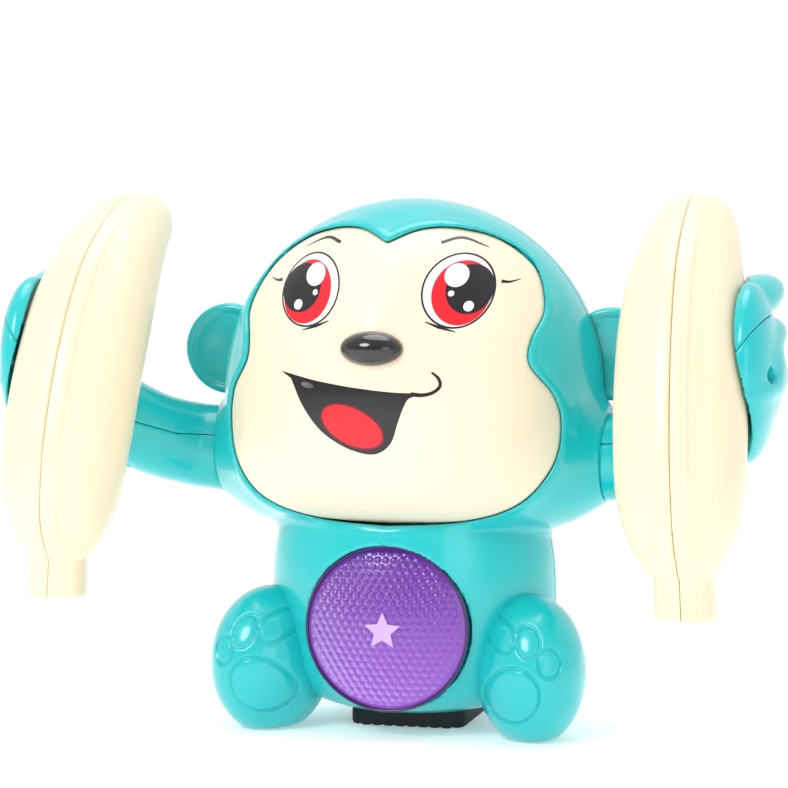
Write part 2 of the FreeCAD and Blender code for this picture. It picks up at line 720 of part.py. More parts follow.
def motor_pinion():
    phase = gap_phase(MOTOR_TEETH, PINION_DIRECTION)
    gear = gear_blank(MOTOR_TEETH, MOTOR_MODULE, phase, PINION_CENTRE, 6.4, 10.6)
    return gear.cut(rod_x(0, 20, SPINDLE_R, *PINION_CENTRE))


def gear_spindles():
    reach = GEARBOX_HALF - 0.4
    return [rod_x(-reach, reach, SPINDLE_R, *centre) for centre in (SECOND_CENTRE, FIRST_CENTRE)]


# ---- gearbox and motor --------------------------------------------------------------------------------
def gearbox_shape():
    y0, y1 = GEARBOX_Y
    z0, z1 = GEARBOX_Z
    outer = box(-GEARBOX_HALF, GEARBOX_HALF, y0, y1, z0, z1)
    along = [e for e in outer.Edges if abs(e.tangentAt(e.FirstParameter).x) > 0.9]
    outer = outer.makeFillet(4.0, along)
    wall = GEARBOX_WALL
    half = GEARBOX_HALF - wall
    inner = box(-half, half, y0 + wall, y1 - wall, z0 + wall, z1 - wall)
    shell = outer.cut(inner)
    columns = [rod_x(-GEARBOX_HALF, GEARBOX_HALF, 2.4, y, z).common(outer) for y, z in GEARBOX_CORNERS]
    lugs = []
    for z in MOUNT_HEIGHTS:
        lugs += both_sides(box(GEARBOX_HALF - 0.5, MOUNT_X + 4.0, y1 - 2.4, y1, z - 3.5, z + 3.5))
    shell = fused([shell] + columns + lugs)
    for z in MOUNT_HEIGHTS:
        for hole in both_sides(rod_y(0.0, 40.0, 1.3, MOUNT_X, z)):
            shell = shell.cut(hole)
    for y, z in GEARBOX_CORNERS:
        shell = shell.cut(rod_x(-GEARBOX_HALF - 1, GEARBOX_HALF - 3.0, 1.0, y, z))
    for spindle in gear_spindles():
        shell = shell.cut(spindle)
    shell = shell.cut(rod_x(0.0, 20.0, 3.1, *PINION_CENTRE))
    return shell.cut(rod_x(-20.0, 20.0, SHAFT_R + RUNNING, *OUTPUT_CENTRE))


def gearbox_left():
    return biggest(gearbox_shape().common(box(-60, 0, -60, 60, 0, 200)))


def gearbox_right():
    return biggest(gearbox_shape().common(box(0, 60, -60, 60, 0, 200)))


def gearbox_screws():
    tip = GEARBOX_HALF - 4.0
    under_head = -GEARBOX_HALF
    return [screw(V(tip, y, z), V(under_head, y, z), 1.0, 1.9, 1.3) for y, z in GEARBOX_CORNERS]


def gearbox_mount_screws():
    under_head = GEARBOX_Y[1] - 2.4
    made = []
    for z in MOUNT_HEIGHTS:
        made += both_sides(screw(V(MOUNT_X, GEARBOX_Y[1] + 8.0, z), V(MOUNT_X, under_head, z), 1.1, 2.1, 1.4))
    return made


def motor_body(inset, x0, x1):
    y, z = PINION_CENTRE
    round_part = rod_x(x0, x1, MOTOR_R - inset, y, z)
    flat = MOTOR_FLAT - inset
    return round_part.common(box(x0, x1, y - flat, y + flat, z - 20, z + 20))


def motor_can():
    start = GEARBOX_HALF
    can = motor_body(0.0, start, start + MOTOR_LENGTH - 3.0)
    nose_boss = rod_x(start - 1.5, start, 3.0, *PINION_CENTRE)
    can = can.fuse(nose_boss).cut(motor_body(0.8, start + 1.0, start + 60.0))
    return can.cut(rod_x(0, 60, SPINDLE_R + RUNNING, *PINION_CENTRE))


def motor_end_cap():
    start = GEARBOX_HALF + MOTOR_LENGTH - 3.0
    cap = motor_body(0.0, start, start + 3.0).fuse(motor_body(0.85, start - 1.5, start))
    cap = cap.cut(rod_x(0, start + 1.0, 4.0, *PINION_CENTRE))
    return cap.cut(rod_x(0, 80, SPINDLE_R + RUNNING, *PINION_CENTRE))


def motor_magnets():
    """Two curved magnets on the can's round sides."""
    y, z = PINION_CENTRE
    ring = rod_x(17.0, 31.0, MOTOR_R - 0.85, y, z).cut(rod_x(16.0, 32.0, MOTOR_R - 3.0, y, z))
    top = ring.common(box(10, 60, y - 5.5, y + 5.5, z + 2, z + 20))
    bottom = ring.common(box(10, 60, y - 5.5, y + 5.5, z - 20, z - 2))
    return [biggest(top), biggest(bottom)]


def motor_rotor():
    """The shaft with its armature and commutator."""
    y, z = PINION_CENTRE
    shaft = rod_x(5.6, 38.5, SPINDLE_R, y, z)
    armature = rod_x(18.0, 30.0, 6.0, y, z)
    for step in range(3):
        turn = 2 * math.pi * step / 3
        slot = rod_x(17.0, 31.0, 1.3, y + 5.8 * math.cos(turn), z + 5.8 * math.sin(turn))
        armature = armature.cut(slot)
    return fused([shaft, armature, rod_x(30.0, 33.5, 2.4, y, z)])


# ---- arms ---------------------------------------------------------------------------------------------
def arm_shaft():
    shaft = rod_x(-SHAFT_HALF, SHAFT_HALF, SHAFT_R, 0, SHAFT_Z)
    for hole in both_sides(rod_x(SHAFT_HALF - 9.0, SHAFT_HALF + 1.0, 1.1, 0, SHAFT_Z)):
        shaft = shaft.cut(hole)
    return shaft


def shaft_bush():
    tube = rod_x(51.4, BOSS_END, BUSH_R, 0, SHAFT_Z).fuse(rod_x(51.4, BOSS_END - WALL, 7.0, 0, SHAFT_Z))
    return tube.cut(rod_x(40.0, 60.0, SHAFT_R + RUNNING, 0, SHAFT_Z))


def arm_hub():
    flange = rod_x(ARM_START + ARM_WALL, 60.2, HUB_FLANGE_R, 0, SHAFT_Z)
    hub = rod_x(ARM_START, 66.0, HUB_R, 0, SHAFT_Z).fuse(flange)
    hub = hub.cut(rod_x(50.0, SHAFT_HALF, SHAFT_R, 0, SHAFT_Z))
    return hub.cut(rod_x(60.0, 70.0, 1.1, 0, SHAFT_Z))


def hub_screw():
    return screw(V(SHAFT_HALF - 8.0, 0, SHAFT_Z), V(66.0, 0, SHAFT_Z), 1.1, 2.2, 1.5)


def path_tangent(points, i):
    before = points[max(i - 1, 0)]
    after = points[min(i + 1, len(points) - 1)]
    return (after - before).normalize()


def banana_points():
    low = BANANA_SECTIONS[0][1]
    high = BANANA_SECTIONS[-1][1]
    points = []
    for y, z, _ in BANANA_SECTIONS:
        share = (z - low) / (high - low)
        points.append(V(BANANA_STEM_X + (BANANA_TIP_X - BANANA_STEM_X) * share, y, z))
    return points


def ring(centre, direction, radius, reference):
    """A circle square to a direction, starting on the side that the reference points to."""
    side = (reference - direction * direction.dot(reference)).normalize()
    turn = FreeCAD.Rotation(side, direction.cross(side), direction, "XYZ")
    circle = Part.makeCircle(radius)
    circle.Placement = FreeCAD.Placement(centre, turn)
    return Part.Wire(circle)


def swept(points, radii, reference, first_direction=None):
    """A smooth round body along points, with a radius at each."""
    wires = []
    for i, point in enumerate(points):
        direction = first_direction if i == 0 and first_direction else path_tangent(points, i)
        wires.append(ring(point, direction, radii[i], reference))
    return Part.makeLoft(wires, True)


def banana_body(inset):
    """The banana's outer form, made thinner by inset everywhere, with its ends drawn in too."""
    points = banana_points()
    radii = [section[2] - inset for section in BANANA_SECTIONS]
    if inset > 0:
        points = points[:-1]
        radii = radii[:-1]
        points[0] = points[0] + V(0, 0, inset)
    return swept(points, radii, V(1, 0, 0), V(0, 0, 1))


def banana_split_plane():
    """A half space on the head's side of the banana's seam."""
    half = box(-SPLIT_SIZE, 0, -SPLIT_SIZE, SPLIT_SIZE, -SPLIT_SIZE, SPLIT_SIZE)
    length = BANANA_SECTIONS[-1][1] - BANANA_SECTIONS[0][1]
    lean = math.degrees(math.atan2(BANANA_STEM_X - BANANA_TIP_X, length))
    half.rotate(V(0, 0, 0), V(0, 1, 0), -lean)
    middle = banana_points()[5]
    half.translate(middle)
    return half


def banana_pin_hole():
    return rod_x(90.0, 107.0, ARM_SCREW_R, *BANANA_PIN)


def banana_shell():
    return banana_body(0.0).cut(banana_body(BANANA_WALL)).cut(banana_pin_hole())


def banana_inner_half():
    return biggest(banana_shell().common(banana_split_plane()))


def banana_outer_half():
    return biggest(banana_shell().cut(banana_split_plane()))


def banana_screw():
    return screw(V(106.5, *BANANA_PIN), V(98.6, *BANANA_PIN), ARM_SCREW_R, 2.0, 1.2)


def banana_centre_at(height):
    """The banana's centre and direction at a height."""
    points = banana_points()
    for i in range(len(points) - 1):
        if points[i].z <= height <= points[i + 1].z:
            step = points[i + 1] - points[i]
            share = (height - points[i].z) / step.z
            radius = BANANA_SECTIONS[i][2] + (BANANA_SECTIONS[i + 1][2] - BANANA_SECTIONS[i][2]) * share
            return points[i] + step * share, V(step).normalize(), radius
    return points[-1], V(0, 0, 1), BANANA_SECTIONS[-1][2]


def finger(height):
    """A finger lying along the banana's outer side, as a long rounded body."""
    centre, direction, radius = banana_centre_at(height)
    outwards = (V(1, 0, 0) - direction * direction.x).normalize()
    backwards = direction.cross(outwards)
    return ellipsoid(centre + outwards * (radius + 1.6) + backwards * FINGER_BACK, FINGER_RADII, FINGER_TURN)


def arm_body(inset, start):
    """The arm's round body, through ARM_STEPS sections evenly spaced along its smooth centreline."""
    points = [V(start, 0, SHAFT_Z)] + [V(x, y, z) for x, y, z, _ in ARM_SECTIONS[1:]]
    line = Part.BSplineCurve()
    line.interpolate(points)
    places = line.discretize(ARM_STEPS)
    wires = []
    for i, place in enumerate(places):
        share = i / (ARM_STEPS - 1) * (len(ARM_SECTIONS) - 1)
        low = min(int(share), len(ARM_SECTIONS) - 2)
        radius = ARM_SECTIONS[low][3] + (ARM_SECTIONS[low + 1][3] - ARM_SECTIONS[low][3]) * (share - low)
        direction = path_tangent(places, i) if i else V(1, 0, 0)
        wires.append(ring(place, direction, radius - inset, V(0, 0, 1)))
    return Part.makeLoft(wires, True, True)


def arm_whole():
    """The arm and hand in one, hollow up to the banana, with its screw columns."""
    hand = fused([ellipsoid(PALM_CENTRE, PALM_RADII)] + [finger(height) for height in FINGER_HEIGHTS])
    outer = arm_body(0.0, ARM_START)
    hollow = arm_body(ARM_WALL, ARM_START + ARM_WALL).cut(banana_body(-2.2))
    shell = outer.fuse(hand).cut(hollow)
    shell = fused([shell] + [rod_z(60.0, 110.0, COLUMN_R, x, y).common(outer) for x, y in ARM_SCREWS])
    shell = shell.cut(banana_body(-0.1))
    shell = shell.cut(rod_x(50.0, 60.0, HUB_R, 0, SHAFT_Z))
    shell = shell.cut(rod_x(ARM_START + ARM_WALL, 60.2, HUB_FLANGE_R, 0, SHAFT_Z))
    shell = shell.cut(banana_pin_hole())
    for i, (x, y) in enumerate(ARM_SCREWS):
        seat = screw_seat_z(i)
        shell = shell.cut(rod_z(50.0, seat, COUNTERBORE_R, x, y))
        shell = shell.cut(rod_z(seat, seat + 13.0, ARM_SCREW_R, x, y))
    return biggest(shell)


def screw_seat_z(i):
    return (74.5, 81.0)[i]


def above_seam():
    """The space over the arm's seam line, as a bar along y."""
    points = [V(x, -120.0, z) for x, z in SEAM]
    top = 180.0
    corners = [V(points[-1].x, -120.0, top), V(points[0].x, -120.0, top), points[0]]
    return Part.Face(Part.makePolygon(points + corners)).extrude(V(0, 200.0, 0))


def arm_screws():
    made = []
    for i, (x, y) in enumerate(ARM_SCREWS):
        seat = screw_seat_z(i)
        made.append(screw(V(x, y, seat + 12.0), V(x, y, seat), ARM_SCREW_R, 2.1, 1.4))
    return made


# ---- fasteners of the casing --------------------------------------------------------------------------
def case_screws():
    made = []
    for x, z in CASE_SCREWS:
        made += both_sides(screw(V(x, -8.0, z), V(x, screw_seat_y(z), z), SCREW_R, 2.2, 1.5))
    return made


def export_pair(name, shape):
    """The same piece for the monkey's own right (-X) and left (+X)."""
    export(name + "_left", shape)
    if isinstance(shape, list):
        export(name + "_right", [mirrored(one) for one in shape])
    else:
        export(name + "_right", mirrored(shape))


def main():
    os.makedirs("parts", exist_ok=True)
    singles = (front_shell, back_shell, face_plate, nose, base_pad, belly_lens, lens_ring, light_reflector,
               led_board, leds, main_board, board_parts, battery_box, battery_cells, battery_contacts,
               battery_springs,
               battery_door, door_screw, power_switch_body, power_switch_knob, speaker_basket, speaker_magnet,
               speaker_cone, output_gear, second_gear, first_gear, motor_pinion, gear_spindles, gearbox_left,
               gearbox_right, gearbox_screws, gearbox_mount_screws, motor_can, motor_end_cap, motor_magnets,
               motor_rotor, arm_shaft, case_screws)
    for make in singles:
        export(make.__name__, make())
    whole_arm = arm_whole()
    seam_space = above_seam()
    export_pair("arm_upper_shell", biggest(whole_arm.common(seam_space)))
    export_pair("arm_lower_shell", biggest(whole_arm.cut(seam_space)))
    pairs = (ear, shaft_bush, arm_hub, hub_screw, arm_screws, banana_inner_half, banana_outer_half,
             banana_screw)
    for make in pairs:
        export_pair(make.__name__, make())


if __name__ == "__main__":
    main()
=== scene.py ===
"""Looks for the tumbling monkey toy: the outer plastic pieces, the printed face and the belly light.

Shapes are written as distance fields in millimetres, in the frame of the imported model, and turned into closed
meshes. +X is across the shoulders, the face looks along -Y and z = 0 is the ground.
"""
import json
import math

import bpy
import numpy as np
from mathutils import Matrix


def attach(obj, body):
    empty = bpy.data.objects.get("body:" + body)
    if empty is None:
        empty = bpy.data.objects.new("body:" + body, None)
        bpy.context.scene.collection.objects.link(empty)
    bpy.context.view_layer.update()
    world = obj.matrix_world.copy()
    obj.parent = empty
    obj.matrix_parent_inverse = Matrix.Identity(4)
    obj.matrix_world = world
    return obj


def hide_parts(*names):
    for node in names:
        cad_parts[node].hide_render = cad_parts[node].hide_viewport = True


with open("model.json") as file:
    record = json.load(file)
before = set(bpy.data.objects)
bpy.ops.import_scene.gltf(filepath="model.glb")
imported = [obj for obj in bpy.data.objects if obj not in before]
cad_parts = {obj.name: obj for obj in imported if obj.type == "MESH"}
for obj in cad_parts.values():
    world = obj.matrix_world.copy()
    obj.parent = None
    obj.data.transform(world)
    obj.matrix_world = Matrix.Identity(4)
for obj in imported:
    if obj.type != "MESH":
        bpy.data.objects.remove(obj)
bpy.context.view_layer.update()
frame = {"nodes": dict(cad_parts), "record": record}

import openvdb
from mathutils import Vector

# ---- driving dimensions, mm ----------------------------------------------------------------------------
HEAD_Z = 97.0
HEAD_W = 54.8
HEAD_RISE = 54.0
HEAD_DROP = 40.0
HEAD_FRONT = 50.5
HEAD_BACK = 48.0
TORSO_Z = 33.0
TORSO_W = 41.5
TORSO_RISE = 45.0
TORSO_DROP = 29.0
TORSO_FRONT = 36.0
TORSO_BACK = 33.0
SHAFT_Z = 78.0
BOSS_END = 55.4
BOSS_R = 12.7
WALL = 2.0
FOOT_CENTRE = (38.0, -17.0, 19.0)
FOOT_RADII = (15.5, 20.5, 21.5)
FOOT_TURN = math.radians(20.0)
LENS_Z = 31.4
LENS_R = 22.75
LENS_RING_R = 23.6
LENS_FRONT = -36.6
LENS_RISE = 5.0
STAR_SIZE = 5.4
NOSE_Z = 110.5
DOOR_HALF = 26.2
DOOR_LOW = 17.3
DOOR_HIGH = 56.7
SEAM_GAP = 0.12
# Right half of the hood's opening, x and z, from the notch at the top to the chin.
HEART = (
    (0.0, 139.0), (8.0, 142.6), (17.0, 143.0), (28.0, 140.0), (38.0, 132.5), (42.6, 121.0), (40.5, 112.5),
    (40.5, 106.0), (46.0, 97.5), (47.8, 88.5), (45.6, 77.0), (37.0, 67.0), (22.0, 61.8), (0.0, 60.4),
)
# Banana centreline: y, z and radius, from the stem to the tip. x leans evenly between two values.
BANANA = (
    (-57.0, 41.4, 8.3), (-57.3, 55.0, 8.3), (-57.5, 63.5, 13.2), (-57.2, 73.0, 16.6), (-53.5, 87.0, 17.6),
    (-47.5, 103.0, 17.6), (-39.0, 118.0, 17.0), (-29.0, 129.0, 15.2), (-15.0, 139.0, 12.4),
    (-3.0, 143.2, 9.6), (5.0, 144.6, 5.5),
)
# How far forward and up the bananas reach, and how far out the hands reach.
BANANA_LIMIT_Y = -73.45
BANANA_LIMIT_Z = 152.3
BANANA_STEM_X = 87.8
BANANA_TIP_X = 82.3
# Arm centreline: x, y, z and radius, from the shoulder to the palm.
ARM = (
    (56.4, 0.0, 78.0, 12.5), (66.0, -3.0, 79.3, 12.2), (76.0, -11.0, 83.0, 12.0),
    (86.0, -19.5, 90.0, 11.8), (96.0, -27.0, 98.5, 10.8), (103.0, -36.0, 106.5, 7.0),
)
# Height of the arm's seam at each x.
ARM_SEAM = (
    (50.0, 82.0), (66.0, 83.5), (76.0, 87.5), (86.0, 95.5), (97.0, 107.5), (104.0, 117.0), (114.0, 129.0),
)
PALM_CENTRE = (101.3, -38.0, 107.0)
PALM_RADII = (7.6, 18.0, 24.0)
HAND_LIMIT_X = 110.9
FINGER_HEIGHTS = (124.5, 113.5, 102.0)
FINGER_RADII = (6.6, 15.0, 5.8)
# Toe pads and sole pad, from the foot's centre: across, up, half width and half height.
PAW_PADS = ((-9.8, 11.6, 3.1, 4.2), (-3.1, 10.5, 3.1, 4.2), (2.4, 4.8, 3.2, 3.9), (-7.0, -4.4, 6.6, 7.9))
# x, y and the height of the seat of each arm screw, and x, z and the seat of each casing screw.
ARM_SCREWS = ((71.0, -6.0, 74.5), (83.0, -17.5, 81.0))
CASE_SCREWS = ((45.0, 118.0, 15.0), (34.6, 24.0, 12.0))


# ---- distance fields -----------------------------------------------------------------------------------
def smooth_min(a, b, k):
    """The smaller of two fields, blended over a width of k mm."""
    h = np.maximum(k - np.abs(a - b), 0.0) / k
    return np.minimum(a, b) - h * h * k * 0.25


def smooth_max(a, b, k):
    return -smooth_min(-a, -b, k)


def smooth_step(low, high, value):
    t = np.clip((value - low) / (high - low), 0.0, 1.0)
    return t * t * (3.0 - 2.0 * t)


def bump(value, width):
    """A rounded ridge: 1 in the middle, about a third at one width away."""
    return np.exp(-(value / width) ** 2)


def ellipsoid(x, y, z, radii):
    """Nearly the distance from an ellipsoid round the origin."""
    k0 = np.sqrt((x / radii[0]) ** 2 + (y / radii[1]) ** 2 + (z / radii[2]) ** 2) + 1e-9
    k1 = np.sqrt((x / radii[0] ** 2) ** 2 + (y / radii[1] ** 2) ** 2 + (z / radii[2] ** 2) ** 2) + 1e-9
    return k0 * (k0 - 1.0) / k1


def turned(x, y, angle):
    """x and y measured in axes turned by angle."""
    return x * math.cos(angle) + y * math.sin(angle), y * math.cos(angle) - x * math.sin(angle)


def head(x, y, z):
    """The head: an ellipsoid above its widest level, squarer below it, with a receding chin."""
    depth = np.where(y < 0, HEAD_FRONT, HEAD_BACK)
    above = z > HEAD_Z
    t = np.abs(z - HEAD_Z) / np.where(above, HEAD_RISE, HEAD_DROP)
    low_t = np.clip(t, 0.0, 0.995)
    ratio = np.where(above, 1.0, (1 - low_t ** 2.8) ** (1 / 2.8) / (1 - low_t ** 5) ** 0.2)
    power = np.where(above, 2.0, 5.0)
    across = np.sqrt((x / HEAD_W) ** 2 + (y / (depth * ratio)) ** 2)
    k0 = (across ** power + t ** power) ** (1.0 / power) + 1e-9
    reach = np.sqrt(x * x + y * y + (z - HEAD_Z) ** 2)
    return reach - reach / k0


def torso(x, y, z):
    """The torso, a rounded barrel that is a little deeper in front."""
    depth = np.where(y < 0, TORSO_FRONT, TORSO_BACK)
    t = np.abs(z - TORSO_Z) / np.where(z > TORSO_Z, TORSO_RISE, TORSO_DROP)
    across = np.sqrt((x / TORSO_W) ** 2 + (y / depth) ** 2)
    k0 = (across ** 3 + t ** 3) ** (1.0 / 3) + 1e-9
    reach = np.sqrt(x * x + y * y + (z - TORSO_Z) ** 2)
    return reach - reach / k0


def shoulder(x, y, z):
    """A boss round the shaft that narrows towards the arm."""
    radius = 18.0 - np.clip((np.abs(x) - 42.0) / (BOSS_END - 42.0), 0, 1) * (18.0 - BOSS_R)
    return smooth_max(np.hypot(y, z - SHAFT_Z) - radius, np.abs(x) - BOSS_END, 1.0)


def foot(x, y, z):
    """An egg-shaped foot with a flat sole, turned outwards."""
    u, v = turned(np.abs(x) - FOOT_CENTRE[0], y - FOOT_CENTRE[1], FOOT_TURN)
    body = ellipsoid(u, v, z - FOOT_CENTRE[2], FOOT_RADII)
    return smooth_max(body, -z, 1.6)


def paw_marks(x, y, z):
    """How deep the outlines of the toe pads and the sole pad are cut, in mm."""
    u, _ = turned(np.abs(x) - FOOT_CENTRE[0], y - FOOT_CENTRE[1], FOOT_TURN)
    w = z - FOOT_CENTRE[2]
    depth = np.zeros_like(x)
    for cu, cw, ru, rw in PAW_PADS:
        reach = np.sqrt(((u - cu) / ru) ** 2 + ((w - cw) / rw) ** 2)
        depth = np.maximum(depth, bump((reach - 1.0) * min(ru, rw), 0.42))
    return np.where(y < FOOT_CENTRE[1], 0.75 * depth, 0.0)


def upper_body(x, y, z):
    """The casing's outside without the feet."""
    shape = smooth_min(head(x, y, z), shoulder(x, y, z), 9.0)
    return smooth_min(shape, torso(x, y, z), 4.0)


def body(x, y, z):
    return smooth_min(upper_body(x, y, z), foot(x, y, z), 2.5)


def spline(points, steps):
    """A smooth line through points, as an array."""
    pts = np.array(points, float)
    full = np.vstack([2 * pts[0] - pts[1], pts, 2 * pts[-1] - pts[-2]])
    rows = []
    for i in range(1, len(full) - 2):
        for t in np.arange(steps) / steps:
            a, b, c, d = full[i - 1], full[i], full[i + 1], full[i + 2]
            rows.append(0.5 * (2 * b + (c - a) * t + (2 * a - 5 * b + 4 * c - d) * t * t
                               + (3 * b - a - 3 * c + d) * t ** 3))
    rows.append(pts[-1])
    return np.array(rows)


def outline_distance(points, u, w):
    """Signed distance from a closed outline, negative inside."""
    best = np.full(u.shape, 1e9)
    inside = np.zeros(u.shape, bool)
    for (ax, az), (bx, bz) in zip(points, np.roll(points, -1, axis=0)):
        ex, ez = bx - ax, bz - az
        t = np.clip(((u - ax) * ex + (w - az) * ez) / (ex * ex + ez * ez + 1e-12), 0, 1)
        best = np.minimum(best, (u - ax - t * ex) ** 2 + (w - az - t * ez) ** 2)
        crosses = (az > w) != (bz > w)
        span = np.where(np.abs(ez) < 1e-12, 1e-12, ez)
        inside ^= crosses & (u < ax + (w - az) * ex / span)
    return np.where(inside, -np.sqrt(best), np.sqrt(best))


HEART_STEP = 0.5
HEART_LOW = (-60.0, 45.0)


def heart_table():
    """The heart opening's distance on a grid of x and z, looked up by heart()."""
    right = spline(HEART, 6)
    left = right[::-1][1:-1] * (-1, 1)
    loop = np.vstack([right, left])
    u = HEART_LOW[0] + HEART_STEP * np.arange(241)
    w = HEART_LOW[1] + HEART_STEP * np.arange(221)
    uu, ww = np.meshgrid(u, w, indexing="ij")
    return outline_distance(loop, uu, ww)


HEART_TABLE = heart_table()


def heart(x, z):
    """Distance from the edge of the hood's opening, negative inside it."""
    u = np.clip((x - HEART_LOW[0]) / HEART_STEP, 0, HEART_TABLE.shape[0] - 1.001)
    w = np.clip((z - HEART_LOW[1]) / HEART_STEP, 0, HEART_TABLE.shape[1] - 1.001)
    i, j = u.astype(int), w.astype(int)
    a, b = u - i, w - j
    low = HEART_TABLE[i, j] * (1 - a) + HEART_TABLE[i + 1, j] * a
    high = HEART_TABLE[i, j + 1] * (1 - a) + HEART_TABLE[i + 1, j + 1] * a
    return low * (1 - b) + high * b


def cylinder_y(x, z, cx, cz, radius):
    return np.hypot(x - cx, z - cz) - radius


def front_shell(x, y, z):
    """The front half: hood, belly and half of each shoulder."""
    edge = heart(x, z)
    lip = 0.45 * bump(edge - 1.6, 1.3) * smooth_step(-14.0, -20.0, y)
    plain = upper_body(x, y, z)
    shape = np.maximum(plain - lip, -(plain + WALL))
    shape = smooth_max(shape, -np.maximum(edge, y + 12.0), 0.8)
    shape = np.maximum(shape, -np.maximum(cylinder_y(x, z, 0, LENS_Z, LENS_RING_R), y + 20.0))
    shape = np.maximum(shape, -np.maximum(np.hypot(y, z - SHAFT_Z) - 5.0, 50.0 - np.abs(x)))
    shape = np.maximum(shape, -pad_space(x, y, z))
    return smooth_max(shape, y + SEAM_GAP / 2, 0.35)


def front_foot(x, y, z):
    """One foot as far as the torso and the parting plane, with its paw marks."""
    plain = foot(x, y, z)
    shape = np.maximum(plain + paw_marks(x, y, z), -(plain + WALL))
    shape = np.maximum(shape, -(upper_body(x, y, z) + 1.2))
    return smooth_max(shape, y + SEAM_GAP / 2, 0.35)


def pad_space(x, y, z):
    """The room that the casing leaves for the rubber pad."""
    return np.maximum(np.maximum(np.abs(x) - 17.0, np.abs(y - 6.0) - 18.0), z - 5.2)


def door_outline(x, z, gap):
    """Distance from the battery door's edge, widened by gap."""
    middle = (DOOR_LOW + DOOR_HIGH) / 2
    half = (DOOR_HIGH - DOOR_LOW) / 2
    return np.maximum(np.abs(x) - DOOR_HALF - gap, np.abs(z - middle) - half - gap)


def grille(x, z):
    """Distance from the nearest of the speaker's holes."""
    best = np.full(x.shape, 1e9)
    for row in range(-2, 3):
        count = 5 - abs(row)
        for i in range(count):
            hole = cylinder_y(x, z, (i - (count - 1) / 2) * 4.0, 98.0 + row * 2.0 * math.sqrt(3), 1.0)
            best = np.minimum(best, hole)
    return best


def back_shell(x, y, z):
    """The back half, with the battery door's opening, the switch slot, the grille and the screw recesses."""
    outer = body(x, y, z)
    shape = np.maximum(outer, -(outer + WALL))
    for sx, sz, seat in CASE_SCREWS:
        column = np.maximum(cylinder_y(np.abs(x), z, sx, sz, 3.6), np.maximum(outer, seat - 2.0 - y))
        shape = np.minimum(shape, column)
        shape = np.maximum(shape, -np.maximum(cylinder_y(np.abs(x), z, sx, sz, 2.6), seat - y))
    shape = np.maximum(shape, -np.maximum(door_outline(x, z, 0.3), 10.0 - y))
    slot = np.maximum(np.abs(x) - 5.4, np.abs(z - 76.0) - 1.6)
    shape = np.maximum(shape, -np.maximum(slot, 36.0 - y))
    shape = np.maximum(shape, -np.maximum(grille(x, z), 36.0 - y))
    shape = np.maximum(shape, -np.maximum(np.hypot(y, z - SHAFT_Z) - 5.0, 50.0 - np.abs(x)))
    shape = np.maximum(shape, -pad_space(x, y, z))
    return smooth_max(shape, SEAM_GAP / 2 - y, 0.35)


def battery_door(x, y, z):
    """The door with the column and the recess for its screw."""
    outer = body(x, y, z)
    shape = np.maximum(outer, -(outer + WALL))
    column = np.maximum(cylinder_y(x, z, 0, 21.5, 3.0), np.maximum(outer, 24.3 - y))
    shape = np.minimum(shape, column)
    shape = np.maximum(shape, -np.maximum(cylinder_y(x, z, 0, 21.5, 2.6), 27.4 - y))
    shape = np.maximum(shape, -cylinder_y(x, z, 0, 21.5, 1.2))
    return smooth_max(np.maximum(shape, 10.0 - y), door_outline(x, z, 0.0), 0.5)


def face_surface(x, y, z):
    """The face's outside: sunk a little below the hood, with shallow eye sockets."""
    side = np.abs(x)
    socket = np.exp(-(((side - 19.0) / 13.5) ** 2 + ((z - 122.0) / 14.5) ** 2))
    muzzle = np.exp(-((x / 24.0) ** 2 + ((z - 100.0) / 15.0) ** 2))
    return head(x, y, z) + 0.6 + 2.6 * socket - 0.5 * muzzle


def face_plate(x, y, z):
    """The face as a thin plate inside the hood's opening, with a hole for the nose's stud."""
    outer = face_surface(x, y, z)
    shape = np.maximum(outer, -(outer + WALL))
    shape = smooth_max(shape, heart(x, z) + 0.25, 0.7)
    shape = np.maximum(shape, -cylinder_y(x, z, 0, NOSE_Z, 2.0))
    return np.maximum(shape, y + 13.0)


def nose(x, y, z):
    """An oval that sits on the face."""
    ball = ellipsoid(x, y + 47.4, z - NOSE_Z, (8.75, 6.2, 4.8))
    return np.maximum(ball, -(face_surface(x, y, z) + 0.3))


def ear(x, y, z):
    """A shallow cup on each side of the head."""
    radius = np.hypot(x - 57.0, z - 107.0)
    back = ellipsoid(x - 57.0, y - 5.0, z - 107.0, (13.3, 4.0, 13.3))
    hollow = ellipsoid(x - 57.0, y - 0.2, z - 107.0, (10.9, 3.6, 10.9))
    front = 3.0 - y
    rim = np.hypot(radius - 11.9, y - 3.6) - 1.35
    cup = smooth_max(np.maximum(back, front), -hollow, 0.6)
    cup = smooth_min(cup, rim, 0.8)
    return np.maximum(cup, -(np.sqrt(x * x + y * y + (z - HEAD_Z) ** 2) - HEAD_W - 0.02))


def banana_line():
    """The banana's centreline: x, y, z and radius."""
    low, high = BANANA[0][1], BANANA[-1][1]
    rows = []
    for y, z, radius in BANANA:
        share = (z - low) / (high - low)
        rows.append((BANANA_STEM_X + (BANANA_TIP_X - BANANA_STEM_X) * share, y, z, radius))
    return spline(rows, 9)


BANANA_LINE = banana_line()


